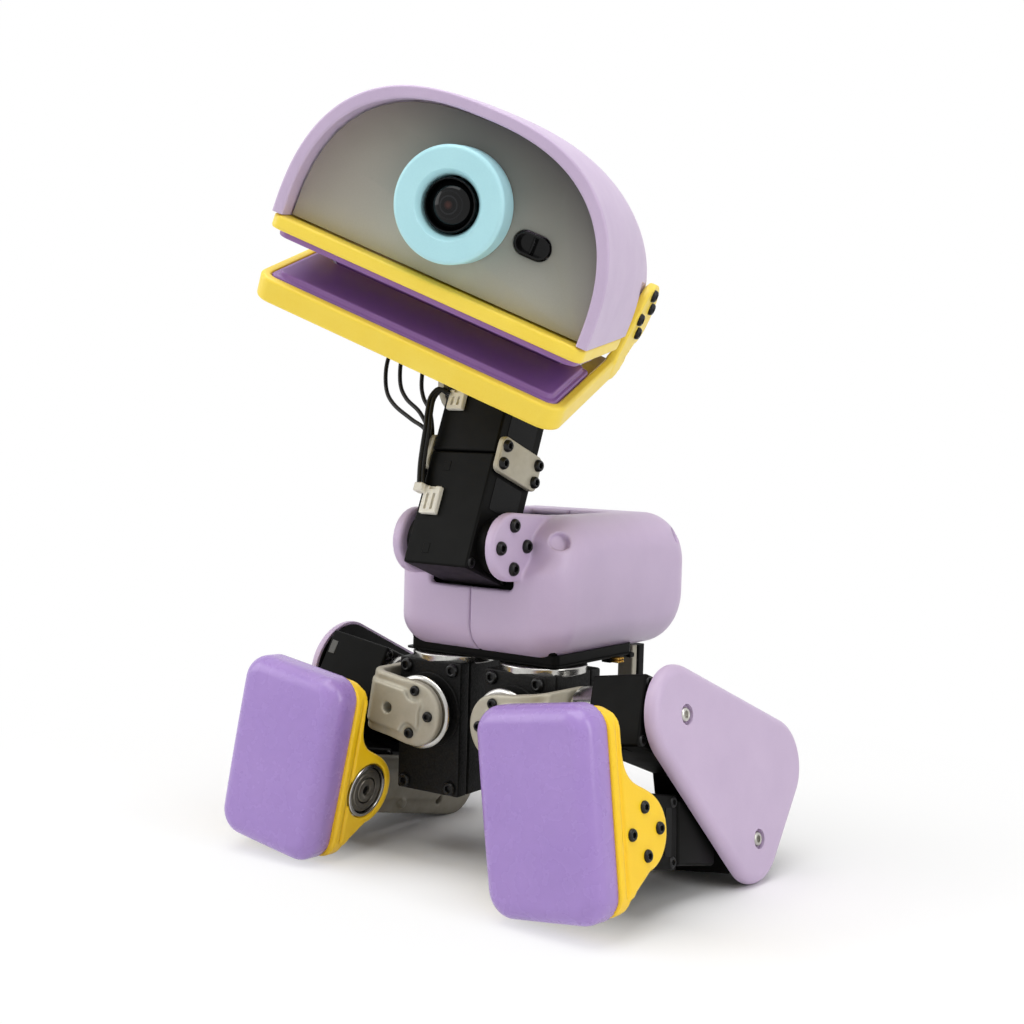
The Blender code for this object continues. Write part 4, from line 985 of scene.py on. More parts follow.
# Servo cases
def servo_case(idler, neck):
    """Servo case with its horn, horn face at z = 0; the case starts a neck's depth behind it."""
    half = SERVO_WIDTH / 2
    low_y, high_y = -SERVO_AXIS, SERVO_LENGTH - SERVO_AXIS
    top, bottom = -neck, SERVO_BACK
    shapes = [block((-half, low_y, bottom), (half, high_y, top), 0.7, 3)]
    for y in (low_y + 4.6, high_y - 4.6):
        shapes.append(block((-half - 0.12, y - 1.5, bottom + 6.0), (-half + 0.6, y + 1.5, bottom + 8.4), 0.1))
    ends = [(top - 0.5, 0.0)] + ([(bottom + 0.5, bottom - HORN_DEPTH)] if idler else [])
    for base, face in ends:
        lip = math.copysign(0.5, face - base)
        profile = [(0.0, face - lip), (2.0, face - lip), (2.4, face), (HORN_RADIUS - 0.5, face),
                   (HORN_RADIUS, face - lip), (HORN_RADIUS, base), (0.0, base)]
        shapes.append(turned(profile, 48))
    return added(*shapes)


def make_servo(on, name, node, long_way, horn_way, horn_face, idler=False, label=None, neck=HORN_DEPTH,
               port=False):
    """Servo case with its cover screws, and a bare label plate or a port where one shows."""
    def aimed(shape):
        return turned_to(shape, horn_way, horn_face, long_way)

    on.crisp(name, aimed(servo_case(idler, neck)), BLACK, "black_plastic", node)
    heads = []
    for x in (-8.0, 8.0):
        for y in (-SERVO_AXIS + 2.0, SERVO_LENGTH - SERVO_AXIS - 2.0):
            heads.append(screw((x, y, -neck - 0.5), (0, 0, 1), 1.6, 0.9))
            heads.append(screw((x, y, SERVO_BACK + 0.5), (0, 0, -1), 1.6, 0.9))
    on.crisp(name + "_screws", aimed(added(*heads)), BOLT, "black_plastic")
    if label:
        low, high = label
        plate = prism(rounded(low, high, 0.6, 16), "z", -HORN_DEPTH, -HORN_DEPTH + LABEL_HEIGHT)
        on.crisp(name + "_label", aimed(plate), LABEL, "black_plastic")
    if port:
        end = -SERVO_AXIS
        plate = block((2.6, end - 0.15, -25.0), (6.8, end + 0.4, -22.6), 0.12)
        on.crisp(name + "_port", aimed(plate), PORT, "black_plastic")


def plug_body(low, high):
    """White lead plug on the front face of a neck servo, with its latch slots."""
    face = -SERVO_WIDTH / 2
    width = high[0] - low[0]
    body = block((low[0], face - 1.5, low[1]), (high[0], face + 0.4, high[1]), 0.25)
    cuts = []
    for share in (0.24, 0.62):
        left = low[0] + width * share
        right = left + width * 0.16
        cuts.append(block((left, face - 2.5, low[1] + 1.2), (right, face - 0.6, high[1] - 2.2), 0.05))
    cuts.append(block((low[0] + width * 0.3, face - 2.5, high[1] - 1.0),
                      (high[0] - width * 0.3, face - 0.7, high[1] + 1.0), 0.05))
    return cut_with(body, *cuts)


def make_neck():
    """Two servos end to end, tie plates, plugs and screws."""
    on = Seat(NECK, "neck")
    face = SERVO_DEPTH / 2 + HORN_DEPTH
    for name, node, long_way, height in (("neck_servo_low", "neck_pitch_servo", (0, 0, 1), 0),
                                         ("neck_servo_high", "head_pitch_servo", (0, 0, -1), NECK_LENGTH)):
        make_servo(on, name, node, long_way, (1, 0, 0), (face, 0, height), idler=True,
                   label=((-6.5, 8.9), (6.5, 18.4)))
    middle = NECK_LENGTH / 2
    half = NECK_PLATE_HEIGHT / 2
    for name, side in SIDES.items():
        on_side = Seat(NECK, "neck", side)
        outline = rounded((-10.0, middle - half), (10.0, middle + half), 2.0)
        plate = prism(outline, "x", NECK_PLATE_INNER, NECK_PLATE_OUTER, 0.3, 0.45)
        on_side.crisp("tie_plate_" + name, plate, CREAM, "cream_metal", "neck_plate_" + name)
        seats = [((NECK_PLATE_OUTER, y, middle + z), (1, 0, 0)) for y in (-8.0, 8.0) for z in (-2.6, 2.6)]
        on_side.screws("tie_screws_" + name, seats, 1.8, 1.4)
    plugs = [plug_body((-9.4, 5.0), (-3.4, 13.2)), plug_body((-9.4, 37.0), (-3.6, 43.0))]
    plugs.append(block((-12.2, -13.2, 11.0), (-9.0, -9.9, 13.6), 0.3))
    on.crisp("plugs", added(*plugs), NYLON, "cream_metal")


make_neck()


# Head
def head_ring(y, inset, count):
    """Arch of the head shell at a depth behind the eye, drawn in by a distance."""
    share = min(max((y - HEAD_FRONT) / (HEAD_DEPTH - inset), 0.0), HEAD_END)
    taper = (1 - share ** FLANK_POWER) ** (1 / FLANK_POWER)
    sink = (1 - share ** CROWN_POWER) ** (1 / CROWN_POWER)
    half_width = (HEAD_HALF_WIDTH - HEAD_TAPER * share - inset) * taper
    height = (HEAD_HEIGHT - inset) * sink
    power = 2 / ARCH_POWER
    ring = []
    for index in range(count + 1):
        angle = math.pi * index / count
        c, s = math.cos(angle), math.sin(angle)
        x = math.copysign(half_width * abs(c) ** power, c)
        ring.append(Vector((x, y, -HEAD_BASE + height * abs(s) ** power)))
    return ring


def head_profile():
    """Depths and insets from the rear of the outer skin round the rim to the rear of the inner."""
    rows = 44
    spread = [math.sin(0.5 * math.pi * index / rows) ** 0.9 for index in range(rows)] + [HEAD_END]
    edge = HEAD_EDGE
    outer = [(HEAD_FRONT + edge + (HEAD_DEPTH - edge) * share, 0.0) for share in reversed(spread)]
    rim = []
    for index in range(1, 7):
        angle = 0.5 * math.pi * index / 6
        rim.append((HEAD_FRONT + edge * (1 - math.sin(angle)), edge * (1 - math.cos(angle))))
    for index in range(6):
        angle = 0.5 * math.pi * index / 6
        rim.append((HEAD_FRONT + edge * (1 - math.cos(angle)), HEAD_WALL - edge * (1 - math.sin(angle))))
    inner = [(HEAD_FRONT + edge + (HEAD_DEPTH - HEAD_WALL - edge) * share, HEAD_WALL) for share in spread]
    return outer + rim + inner


def make_head_shell():
    """Hood of even wall with a rounded rim and a seat for each jaw arm."""
    count = 96
    ease = 1.2
    shape = bmesh.new()
    rings = []
    arm_front = HINGE_PLACE[1] - JAW_BOSS - 9.0
    arm_top = HINGE_PLACE[2] + JAW_BOSS + 1.0
    arm_face = JAW_HALF_WIDTH - JAW_WALL - 0.7
    for y, inset in head_profile():
        ring = []
        for point in head_ring(y, inset, count):
            ease_y = min(max((point.y - arm_front) / ease, 0.0), 1.0)
            ease_z = min(max((arm_top - point.z) / ease, 0.0), 1.0)
            limit = arm_face + (1 - min(ease_y, ease_z)) * 6.0
            if inset < HEAD_WALL:
                point.x = math.copysign(min(abs(point.x), limit), point.x)
            ring.append(shape.verts.new(point))
        rings.append(ring)
    for here, there in zip(rings, rings[1:]):
        for index in range(count):
            shape.faces.new((here[index], here[index + 1], there[index + 1], there[index]))
    shape.faces.new(rings[0])
    shape.faces.new(rings[-1])
    for end in (0, -1):
        shape.faces.new([ring[end] for ring in rings])
    shape.faces.new((rings[0][0], rings[0][-1], rings[-1][-1], rings[-1][0]))
    bmesh.ops.recalc_face_normals(shape, faces=shape.faces)
    Seat(EYE, "head").crisp("hood", shape, LILAC, "lilac_plastic", "head_shell")


def facing_front(shape):
    """Turns a spun shape to face forward from the eye."""
    return turned_to(shape, (0, -1, 0), (0, 0, 0))


def sensor_outline(radius):
    """Outline of the range sensor's window, with round ends."""
    ends = [circle((SENSOR_PLACE[0] + shift, SENSOR_PLACE[1]), radius, 32) for shift in (-2.05, 2.05)]
    return hull(ends[0] + ends[1])


def make_eye():
    """Cyan ring, camera barrel with its glass, and the range sensor window."""
    on = Seat(EYE, "head")
    rear = -FACE_DEPTH + 0.3
    edge = EYE_EDGE
    ring = [(7.6, rear), (7.6, -2.9), (8.9, -0.35), (9.3, 0.0), (EYE_RADIUS - edge, 0.0)]
    for index in range(1, 7):
        angle = 0.5 * math.pi * index / 6
        ring.append((EYE_RADIUS - edge * (1 - math.sin(angle)), -edge * (1 - math.cos(angle))))
    ring += [(EYE_RADIUS, rear), (7.6, rear)]
    on.crisp("eye_rim", facing_front(turned(ring, 128)), CYAN, "cyan_plastic", "eye_ring")
    barrel = [(6.4, -3.0), (6.5, -1.8), (6.7, -1.5), (7.0, -1.6), (7.2, -1.9), (7.2, -15.4), (6.4, -15.4),
              (6.4, -3.0)]
    on.crisp("lens_barrel", facing_front(turned(barrel, 96)), LENS, "lens_black", "camera_barrel")
    dome = []
    for index in range(17):
        angle = LENS_ARC * index / 16
        dome.append((LENS_RADIUS * math.sin(angle) / math.sin(LENS_ARC),
                     -0.5 - LENS_RADIUS * (1 - math.cos(angle)) / math.sin(LENS_ARC)))
    dome += [(LENS_RADIUS, -6.0), (0.0, -6.0)]
    on.crisp("lens_glass", facing_front(turned(dome, 96)), GLASS, "lens_black")
    body = cut_with(prism(sensor_outline(3.05), "y", FACE_DEPTH - 0.8, FACE_DEPTH + 5.2, 0.35, 0.0),
                    prism(sensor_outline(2.35), "y", FACE_DEPTH - 2.0, FACE_DEPTH + 1.6))
    bar = block((SENSOR_PLACE[0] - 0.35, FACE_DEPTH, SENSOR_PLACE[1] - 2.3),
                (SENSOR_PLACE[0] + 0.35, FACE_DEPTH + 2.0, SENSOR_PLACE[1] + 2.3), 0.15)
    on.crisp("range_window", added(body, bar), LENS, "lens_black", "range_sensor")


def through(flat, depth, edge=0.3):
    """Distance from a cut right through the jaw, from a flat outline."""
    return slab(flat, depth, -40.0, FAR, edge)


def throat_notch(x, y, z):
    """Distance from the notch for the neck, cut in the rear of the tray and the tongue."""
    low, high = (-NOTCH_HALF_WIDTH, JAW_FLOOR_REAR - NOTCH_DEPTH), (NOTCH_HALF_WIDTH, 0.0)
    return through(rectangle(x, y, low, high, 2.0), z)


def upper_jaw_field(x, y, z):
    """Distance from the yellow band under the hood, with a lip behind the palate."""
    top, bottom = -HEAD_BASE - 0.3, -HEAD_BASE - 4.2
    wide = HEAD_HALF_WIDTH - 0.3
    share = np.clip((y - HEAD_FRONT) / HEAD_DEPTH, 0, 0.99)
    half = (wide - HEAD_TAPER * share) * (1 - share ** FLANK_POWER) ** (1 / FLANK_POWER)
    flat = rectangle(x * wide / half, y, (-wide, HEAD_FRONT), (wide, 50.0), 3.0)
    band = slab(flat, z, bottom, top, 0.7)
    gap = slab(rectangle(x, y, (-37.7, 31.4), (37.7, 90.0), 2.0), z, bottom - 9, top + 9, 0.2)
    band = carved(band, gap, 0.8)
    arch = 6.0 - 1.6 * (x / 40.0) ** 2
    lip = slab(rectangle(x, z + arch, (-34.0, bottom), (34.0, bottom + 8.0), 1.0), y, 29.4, 31.4, 0.5)
    return fused(band, lip, 1.0)


def jaw_field(x, y, z):
    """Distance from the lower jaw tray and its arms; a ledge stays behind the floor on the left."""
    half = JAW_HALF_WIDTH
    inner = half - JAW_WALL
    outer = slab(rectangle(x, y, (-half, -JAW_REACH), (half, 40.0), 5.5), z, JAW_BOTTOM, JAW_RIM, 0.9)
    well = rectangle(x, y, (-inner, -JAW_REACH + JAW_WALL), (inner, 60.0), 2.8)
    tray = carved(outer, slab(well, z, JAW_BOTTOM + JAW_FLOOR, FAR, 0.5), 0.5)
    behind = through(rectangle(x, y, (-inner, JAW_FLOOR_REAR), (38.0, 60.0), 1.0), z)
    tail = through(rectangle(x, y, (-60.0, -9.5), (60.0, 80.0), 0.5), z)
    tray = carved(tray, np.minimum(np.minimum(behind, throat_notch(x, y, z)), tail), 0.6)
    boss = round_spot(y, z, (0.0, 0.0), JAW_BOSS)
    arm_flat = np.minimum(boss, strap(y, z, (-1.5, 0.5), (-16.5, -11.0), 9.0, 4.8))
    return fused(tray, slab(arm_flat, np.abs(x), inner, half, 0.6), 1.2)


def tongue_field(x, y, z):
    """Distance from the tongue pad with its stepped edge."""
    edge = JAW_HALF_WIDTH - JAW_WALL - 0.3
    front, rear = -JAW_REACH + JAW_WALL + 0.3, JAW_FLOOR_REAR
    floor = JAW_BOTTOM + JAW_FLOOR + 0.3
    base = slab(rectangle(x, y, (-edge, front), (edge, rear), 2.2), z, floor, -8.6, 0.4)
    step = rectangle(x, y, (-edge + 1.6, front + 1.3), (edge - 1.6, rear - 1.6), 2.0)
    pad = fused(base, slab(step, z, floor, -7.3, 0.4), 0.5)
    return carved(pad, throat_notch(x, y, z), 0.6)


def make_jaws():
    """Upper band, palate, lower tray, tongue and the hinge screws."""
    on = Seat(EYE, "head")
    on.cast("jaw_band", upper_jaw_field, (-48, 3, -31), (48, 51, -20), 0.6, YELLOW,
            "upper_jaw")
    palate = prism(rounded((-45.5, 5.4), (45.5, 29.1), 4.0), "z", -26.5, -25.0, 0.6, 0.0)
    curtain = prism(rounded((-36.5, -32.3), (36.5, -24.4), 1.2), "y", 31.2, 32.0, 0.2, 0.2, 1)
    on.crisp("palate_sheet", added(palate, curtain), PLUM, "plum_rubber", "palate")
    on = Seat(JAW, "jaw")
    on.cast("jaw_tray", jaw_field, (-48, -69, -16), (48, 10, 10), 0.65, YELLOW, "lower_jaw")
    on.cast("tongue_pad", tongue_field, (-45, -66, -14), (45, -35, -7), 0.6, PLUM, "tongue")
    for name, side in SIDES.items():
        seats = [((JAW_HALF_WIDTH, *spot), (1, 0, 0)) for spot in HINGE_SCREWS]
        Seat(JAW, "jaw", side).screws("hinge_screws_" + name, seats, 1.9)


make_head_shell()
make_eye()
make_jaws()


# Hips
def make_hip(name, side):
    """Turned yaw disc, pebbled roll servo housing and its front screws."""
    on = Seat(LEGS[name]["hip"], "hip_" + name, side)
    disc = [(0.0, 1.4), (12.6, 1.4), (12.9, 1.2), (13.0, 0.9), (12.9, 0.5), (12.9, -0.8), (12.6, -1.1),
            (0.0, -1.1)]
    on.crisp("yaw_disc_" + name, turned(disc, 96), STEEL, "steel", "hip_yaw_disc_" + name)
    half, front = HOUSING_HALF_WIDTH, HOUSING_HALF_DEPTH
    axis_z = -ROLL_AXIS_DROP
    low_z, high_z = axis_z - HOUSING_BELOW, axis_z + HOUSING_ABOVE
    layers = [block((-half, low_y, low_z), (half, high_y, high_z), 0.7, 2)
              for low_y, high_y in ((-front, -8.4), (-8.2, 8.0), (8.2, front))]
    core = block((-11.0, -12.0, low_z + 0.4), (11.0, 12.0, high_z - 0.4), 0.2)
    boss = [(0.0, 2.0), (7.4, 2.0), (8.0, 1.4), (8.0, 0.5), (11.1, 0.5), (11.3, 0.3), (11.3, -1.0),
            (0.0, -1.0)]
    boss = turned_to(turned(boss, 64), (0, -1, 0), (0, -front, axis_z))
    housing = added(*layers, core, boss)
    on.crisp("housing_" + name, housing, HOUSING, "black_plastic", "hip_roll_servo_" + name)
    seats = [((x, -front, axis_z + z), (0, -1, 0)) for x in (-8.45, 8.45) for z in (12.6, -22.6)]
    on.screws("housing_screws_" + name, seats, 2.1)


def bracket_field(x, y, z):
    """Distance from the cast hip bracket: front plate, round bend, flank and raised web."""
    inner = BRACKET_OUTER - BRACKET_SHEET
    bend = rectangle(x, y, (-40.0, BRACKET_FRONT), (BRACKET_OUTER, 40.0), 5.0)
    inside = rectangle(x, y, (-60.0, BRACKET_FRONT + BRACKET_SHEET), (inner, 60.0), 2.4)
    sheet = carved(bend, inside, 0.4)
    end = BRACKET_END
    front = fused(round_spot(x, z, (0.0, 0.0), end), rectangle(x, z, (0.0, -9.3), (60.0, 9.3), 1.0), 2.0)
    flank = rectangle(y, z, (-60.0, -end), (HIP_PITCH_AXIS[0], end), 1.0)
    flank = np.minimum(round_spot(y, z, HIP_PITCH_AXIS, end), flank)
    plate = shared(shared(sheet, front, 1.0), flank, 1.0)
    outline = rectangle(x, z, (-3.2, -6.4), (40.0, 6.4), 3.6)
    for seat in BRACKET_SCREWS:
        outline = carved(outline, round_spot(x, z, seat, 3.0), 1.0)
    web = slab(outline, y, BRACKET_WEB, -18.0, 0.7)
    web = shared(web, rectangle(x, y, (-40.0, BRACKET_WEB), (BRACKET_OUTER, 40.0), 5.6), 0.6)
    whole = fused(plate, web, 0.8)
    hole = slab(round_spot(x, z, (8.6, -0.45), 1.6), y, -60.0, -10.0, 0.1)
    return carved(whole, hole, 0.6)


def make_bracket(name, side):
    """Polished roll ring before a black collar, cast bracket and its screws."""
    on = Seat(LEGS[name]["spread"], "spread_" + name, side)
    ring = [(0.0, 3.1), (9.8, 3.1), (10.5, 2.9), (10.9, 2.4), (10.9, 2.0), (10.5, 1.6), (0.0, 1.6)]
    collar = [(0.0, 1.7), (10.2, 1.7), (10.2, 0.4), (9.9, 0.0), (0.0, 0.0)]
    spun = [turned_to(turned(profile, 96), (0, -1, 0), (0, -15.3, 0)) for profile in (ring, collar)]
    on.crisp("roll_ring_" + name, spun[0], STEEL, "steel", "hip_roll_ring_" + name)
    on.crisp("roll_collar_" + name, spun[1], BLACK, "black_plastic")
    on.cast("bracket_" + name, bracket_field, (-10, -22.8, -10), (18.5, 7, 10), 0.5, CREAM,
            "hip_bracket_" + name)
    seats = [((x, BRACKET_FRONT, z), (0, -1, 0)) for x, z in BRACKET_SCREWS]
    on.screws("bracket_screws_" + name, seats, 1.6, 1.1)


# Legs
def cover_outline(radius):
    """Outline of the thigh cover, round three corners."""
    corners = (COVER_FRONT_FROM_HIP, COVER_TOP_FROM_HIP, KNEE_FROM_HIP)
    return hull([point for corner in corners for point in circle(corner, radius, 72)])


def make_thigh(name, side):
    """Two servos, the polished hip collar, the thigh plate, its cover and the cover's silver screws."""
    on = Seat(LEGS[name]["thigh"], "thigh_" + name, side)
    neck = HIP_NECK[name]
    make_servo(on, "hip_servo_" + name, "hip_pitch_servo_" + name, (0, *COVER_TOP_FROM_HIP), (-1, 0, 0),
               (HORN_FACE, 0, 0), neck=neck, port=name == "right")
    inner, rear = HORN_RADIUS - 0.5, -neck - 0.3
    collar = [(inner, -0.6), (9.0, -0.6), (9.4, -1.0), (9.4, rear), (inner, rear), (inner, -0.6)]
    collar = turned_to(turned(collar, 96), (-1, 0, 0), (HORN_FACE, 0, 0))
    on.crisp("hip_collar_" + name, collar, STEEL, "steel")
    make_servo(on, "knee_case_" + name, "knee_servo_" + name, (0, 0, 1), (-1, 0, 0),
               (HORN_FACE, *KNEE_FROM_HIP))
    plate = prism(cover_outline(COVER_RADIUS - 0.8), "x", COVER_INNER - 0.5, COVER_INNER - 0.1, 0.1, 0.1)
    on.crisp("thigh_plate_" + name, plate, BLACK, "black_plastic", "thigh_frame_" + name)
    cover = prism(cover_outline(COVER_RADIUS), "x", COVER_INNER, COVER_OUTER, 0.2, 3.0, 8)
    pockets = [prism(circle(seat, 2.9, 40), "x", COVER_OUTER - 1.5, COVER_OUTER + 3) for seat in COVER_SEATS]
    on.crisp("cover_" + name, cut_with(cover, *pockets), LILAC, "lilac_plastic", "thigh_cover_" + name)
    seats = [((COVER_OUTER - 1.4, *seat), (1, 0, 0)) for seat in COVER_SEATS]
    on.screws("cover_screws_" + name, seats, 2.2, finish=SILVER)


def shin_field(x, y, z):
    """Distance from the shin plate with its ankle pin and boss."""
    flat = strap(y, z, (0.0, 0.0), ANKLE_FROM_KNEE, SHIN_KNEE_END, SHIN_ANKLE_END)
    plate = slab(flat, x, SHIN_INNER, SHIN_OUTER, 0.9)
    rib = slab(strap(y, z, (-12.0, 2.5), (-46.0, 9.6), 4.6), x, 14.9, 17.0, 0.6)
    pin = slab(round_spot(y, z, ANKLE_FROM_KNEE, 2.6), x, 11.5, 17.0, 0.4)
    boss = slab(round_spot(y, z, ANKLE_FROM_KNEE, 6.0), x, 17.0, 21.1, 0.3)
    whole = fused(fused(plate, rib, 1.2), np.minimum(pin, boss), 0.8)
    peg = slab(round_spot(y, z, (-31.0, 0.6), 1.5), x, 14.2, 17.0, 0.4)
    hole = slab(round_spot(y, z, (-10.0, -2.8), 1.6), x, 0.0, FAR, 0.1)
    return carved(fused(whole, peg, 0.6), hole, 0.5)


def make_shin(name, side):
    """Cast shin plate, and the ankle servo with its bare label."""
    on = Seat(LEGS[name]["shin"], "shin_" + name, side)
    # The shin plate takes the darker cream metal, which is painted shade.
    on.cast("shin_casting_" + name, shin_field, (9, -67, -9), (21.2, 9, 21), 0.6, SHADED_CREAM,
            "shin_plate_" + name)
    to_knee = Vector((0, -ANKLE_FROM_KNEE[0], -ANKLE_FROM_KNEE[1]))
    make_servo(on, "ankle_case_" + name, "ankle_servo_" + name, to_knee, (1, 0, 0),
               (ANKLE_HORN_FACE, *ANKLE_FROM_KNEE), label=((-6.5, 18.6), (6.5, 21.6)))


def foot_field(x, y, z):
    """Distance from the foot frame: flange, two blended arms, bearing bore and window."""
    side = rectangle(x, z, (FOOT_INNER, -20.3), (FOOT_OUTER, 33.0), 6.5)
    flange = slab(side, y, FLANGE_FRONT, FLANGE_REAR, 0.7)
    rim = rectangle(y, z, (FLANGE_FRONT, -18.8), (FLANGE_REAR + 0.4, 31.0), 1.0)
    boss = round_spot(y, z, BOSS_MIDDLE, FOOT_BOSS)
    brace = strap(y, z, BOSS_MIDDLE, (-7.5, -12.5), FOOT_BOSS, 3.5)
    arm_flat = np.minimum(np.where(z > 0, fused(boss, rim, 16.0), boss), np.minimum(brace, rim))
    arm_flat = np.maximum(arm_flat, FLANGE_FRONT - y)
    arms = np.minimum(slab(arm_flat, x, FOOT_INNER, FOOT_INNER + FOOT_ARM, 0.6),
                      slab(arm_flat, x, FOOT_OUTER - FOOT_ARM, FOOT_OUTER, 0.6))
    whole = np.maximum(fused(flange, arms, 1.5), side)
    seat = slab(round_spot(y, z, (0.0, 0.0), 8.3), x, FOOT_INNER - 5.0, FOOT_INNER + FOOT_ARM + 5.0, 0.1)
    window = rectangle(x, z, (14.5, -POCKET_HALF), (FOOT_OUTER - FOOT_ARM, POCKET_HALF), 1.5)
    whole = carved(whole, np.minimum(seat, slab(window, y, -40.0, 0.0, 0.2)), 0.5)
    line = rectangle(y, z, (-9.0, -15.0), (-8.0, 31.0), 0.2)
    ends = np.minimum(np.abs(x - FOOT_INNER), np.abs(x - FOOT_OUTER))
    return carved(whole, np.maximum(line, ends - 0.5), 0.3)


def pad_field(x, y, z):
    """Distance from the sole pad: soft edges, a low crown and a pocket for the ankle servo."""
    across = (x - PAD_MIDDLE[0]) / PAD_SIZE[0]
    along = (z - PAD_MIDDLE[1]) / PAD_SIZE[1]
    crown = 0.7 * (across * across + along * along) * 4
    x = x - np.where(x < PAD_MIDDLE[0], PAD_TAPER * (0.5 - along), 0.0) * np.clip(-across * 2, 0, 1)
    low = (PAD_MIDDLE[0] - PAD_SIZE[0] / 2, PAD_MIDDLE[1] - PAD_SIZE[1] / 2)
    high = (PAD_MIDDLE[0] + PAD_SIZE[0] / 2, PAD_MIDDLE[1] + PAD_SIZE[1] / 2)
    pad = slab(rectangle(x, z, low, high, 7.6), y - crown * 0.5, PAD_FRONT, 4.0, 4.8)
    pad = shared(pad, y - FLANGE_FRONT - 0.1, 0.4)
    pocket = slab(rectangle(x, z, (18.6, -POCKET_HALF), (47.0, POCKET_HALF), 1.0), y, -14.8, 5.0, 0.5)
    return carved(pad, pocket, 0.5)


def make_foot(name, side):
    """Foot frame, sole pad, bearing and the horn screws."""
    body = "foot_" + name
    where = LEGS[name]["foot"]
    on = Seat(where, body, side)
    on.cast("foot_casting_" + name, foot_field, (9, -11.5, -21), (50.5, 11.5, 33.5), 0.5, AMBER,
            "foot_frame_" + name)
    shifted = Seat(frame_at(where, (side * PAD_SHIFT[name], 0, 0)), body, side)
    shifted.cast("sole_" + name, pad_field, (9, -22, -23), (49, -10, 35), 0.8, PURPLE,
                 "foot_pad_" + name)
    race = [(6.9, 0.5), (7.1, 0.0), (7.8, 0.0), (8.0, 0.2), (8.0, 2.6), (6.9, 2.6), (6.9, 0.5)]
    shield = [(3.9, 0.6), (4.1, 0.3), (5.4, 0.35), (5.6, 0.6), (6.4, 0.6), (6.6, 0.8), (6.6, 2.3), (3.9, 2.3),
              (3.9, 0.6)]
    hub = [(1.3, 1.2), (1.5, 0.5), (1.8, 0.3), (3.5, 0.3), (3.7, 0.5), (3.7, 2.6), (1.3, 2.6), (1.3, 1.2)]
    # Black disc behind the bearing, seen in its groove and centre hole: painted shade.
    gap = [(0.0, 1.3), (7.2, 1.3), (7.2, 2.2), (0.0, 2.2)]
    race, shield, hub, gap = [turned_to(turned(profile, 72), (1, 0, 0), (FOOT_INNER, 0, 0))
                              for profile in (race, shield, hub, gap)]
    on.crisp("bearing_race_" + name, race, STEEL, "steel", "ankle_bearing_" + name)
    on.crisp("bearing_shield_" + name, added(shield, hub), SHIELD, "steel")
    on.crisp("bearing_painted_shade_" + name, gap, BLACK, "black_plastic")
    on.screws("ankle_screws_" + name, screw_ring(FOOT_OUTER, (1.0, 0.0), ANKLE_SCREW_RING), 1.7, 0.9)


for leg_name, leg_side in SIDES.items():
    make_hip(leg_name, leg_side)
    make_bracket(leg_name, leg_side)
    make_thigh(leg_name, leg_side)
    make_shin(leg_name, leg_side)
    make_foot(leg_name, leg_side)


# Pieces that keep their solid
def finish_nodes():
    """Gives every solid that still shows its finish and a fine edge."""
    finishes = {
        "lilac_plastic": LILAC, "yellow_plastic": YELLOW, "purple_rubber": PURPLE, "plum_rubber": PLUM,
        "cyan_plastic": CYAN, "smoked_face": FACE, "cream_metal": CREAM, "steel": STEEL, "board": BOARD,
        "cell_wrap": CELL, "lens_black": LENS, "lead_rubber": WIRE, "black_plastic": BLACK,
    }
    slots = {part["node"]: part["material_slot"] for part in frame["record"]["subparts"]}
    for name, item in frame["nodes"].items():
        if item.hide_render:
            continue
        item.data.materials.clear()
        item.data.materials.append(finishes[slots[name]])
        item.data.shade_smooth()
        weld = item.modifiers.new("weld", "WELD")
        weld.merge_threshold = 1e-6
        ease = item.modifiers.new("eased_edges", "BEVEL")
        ease.width = 0.25 * MM
        ease.segments = 2
        ease.limit_method = "ANGLE"
        ease.angle_limit = math.radians(35)
        ease.harden_normals = True


finish_nodes()


# Floor and light
SURROUND_LIGHT = 0.34
FLOOR_REACH = 6.0
FLOOR_GAP = 0.0002
WHITE = (1.0, 1.0, 1.0, 1.0)
RAYS_THAT_SHOW = ("Is Camera Ray", "Is Glossy Ray", "Is Transmission Ray")


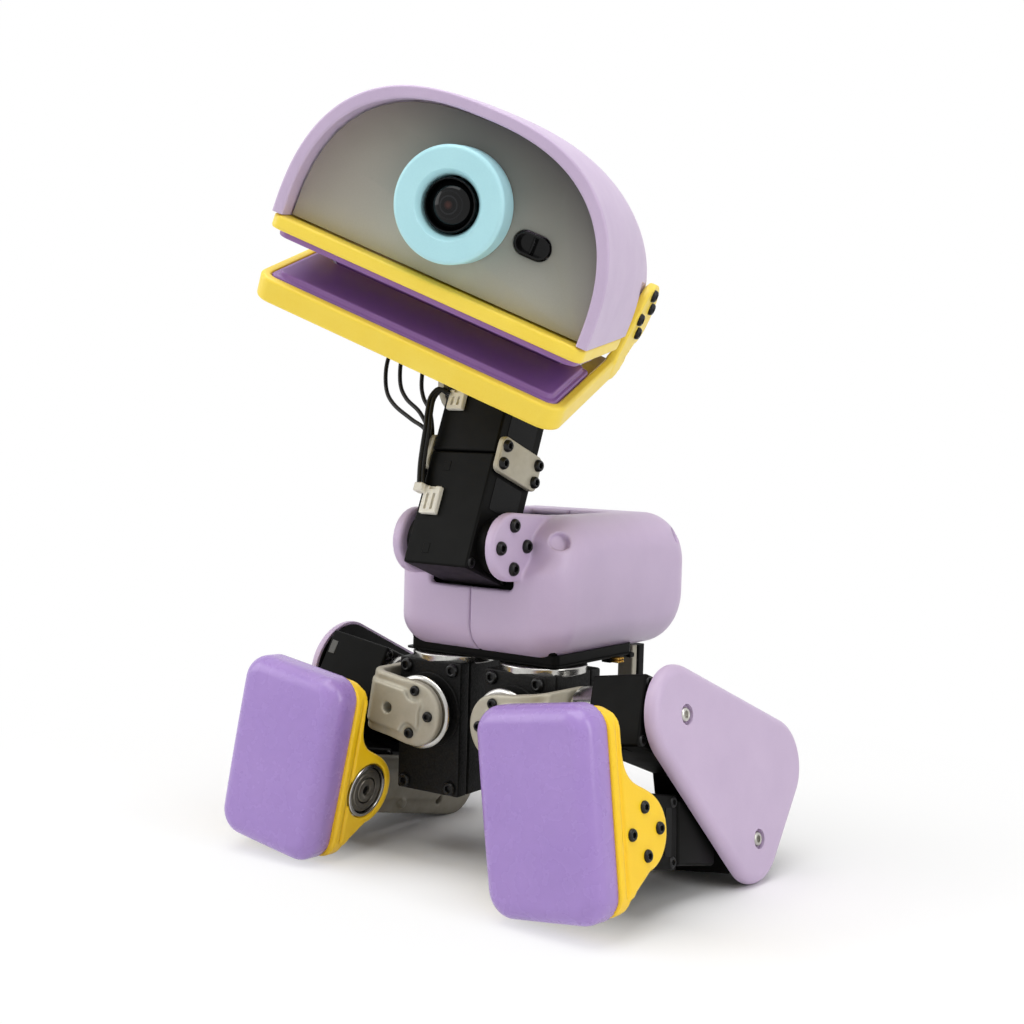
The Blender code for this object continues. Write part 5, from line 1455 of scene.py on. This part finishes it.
def make_floor():
    """Pale floor that keeps the robot's shadow and fades into the white surround."""
    mesh = bpy.data.meshes.new("floor")
    corners = ((-1, -1), (1, -1), (1, 1), (-1, 1))
    mesh.from_pydata([(x * FLOOR_REACH, y * FLOOR_REACH, 0) for x, y in corners], [], [(0, 1, 2, 3)])
    floor = bpy.data.objects.new("floor", mesh)
    floor.location.z = cad_box[0][2] - FLOOR_GAP
    bpy.context.scene.collection.objects.link(floor)
    finish = Finish("floor", Roughness=0.9, Specular_IOR_Level=0.0)
    drift = finish.noise(400.0, 2.0)
    finish.shade(Base_Color=finish.mix(drift, (0.93, 0.93, 0.925, 1.0), (0.95, 0.95, 0.945, 1.0)))
    distance = finish.node("ShaderNodeVectorMath", {"operation": "LENGTH"}, {0: finish.place()}, "Value")
    sockets = {0: finish.place(), 1: (0, -1, 0)}
    ahead = finish.node("ShaderNodeVectorMath", {"operation": "DOT_PRODUCT"}, sockets, "Value")
    near = finish.ramp(ahead, 0.012, 0.050) * 0.85
    far = finish.ramp(distance, 0.09, 0.26)
    rays = [finish.node("ShaderNodeLightPath", output=kind) for kind in RAYS_THAT_SHOW]
    shown = rays[0] + rays[1] + rays[2]
    fade = shown * (1 - (1 - near) * (1 - far))
    white = finish.tree.nodes.new("ShaderNodeEmission")
    white.inputs["Color"].default_value = WHITE
    both = finish.tree.nodes.new("ShaderNodeMixShader")
    finish.feed(both.inputs["Fac"], fade)
    finish.tree.links.new(finish.shader.outputs[0], both.inputs[1])
    finish.tree.links.new(white.outputs[0], both.inputs[2])
    finish.tree.links.new(both.outputs[0], finish.tree.nodes["Material Output"].inputs["Surface"])
    mesh.materials.append(finish.material)


def make_world():
    """White surround to the eye, in metal and in glass, and softer as a light."""
    world = bpy.data.worlds.new("studio")
    bpy.context.scene.world = world
    world.use_nodes = True
    tree = world.node_tree
    rays = tree.nodes.new("ShaderNodeLightPath")
    shown = rays.outputs[RAYS_THAT_SHOW[0]]
    for kind in RAYS_THAT_SHOW[1:]:
        either = tree.nodes.new("ShaderNodeMath")
        either.operation = "MAXIMUM"
        tree.links.new(shown, either.inputs[0])
        tree.links.new(rays.outputs[kind], either.inputs[1])
        shown = either.outputs[0]
    strength = tree.nodes.new("ShaderNodeMapRange")
    strength.inputs["To Min"].default_value = SURROUND_LIGHT
    strength.inputs["To Max"].default_value = 1.0
    tree.links.new(shown, strength.inputs["Value"])
    back = tree.nodes["Background"]
    back.inputs["Color"].default_value = WHITE
    tree.links.new(strength.outputs[0], back.inputs["Strength"])


def softbox(name, place, aim, size, power):
    """Rectangular studio light that faces a point."""
    data = bpy.data.lights.new(name, "AREA")
    data.shape = "RECTANGLE"
    data.size, data.size_y = size
    data.energy = power
    lamp = bpy.data.objects.new(name, data)
    way = Vector(aim) - Vector(place)
    lamp.matrix_world = Matrix.Translation(place) @ way.to_track_quat("-Z", "Y").to_matrix().to_4x4()
    bpy.context.scene.collection.objects.link(lamp)


make_floor()
make_world()
softbox("overhead", (0.0, -0.16, 0.95), (0.0, 0.0, 0.06), (0.9, 0.9), 7.4)
softbox("front_left", (-0.72, -0.55, 0.45), (0.0, 0.0, 0.12), (0.6, 0.6), 2.6)
softbox("side_right", (0.85, -0.05, 0.50), (0.0, 0.0, 0.12), (0.22, 0.8), 2.5)

bpy.context.scene.view_settings.view_transform = "Standard"
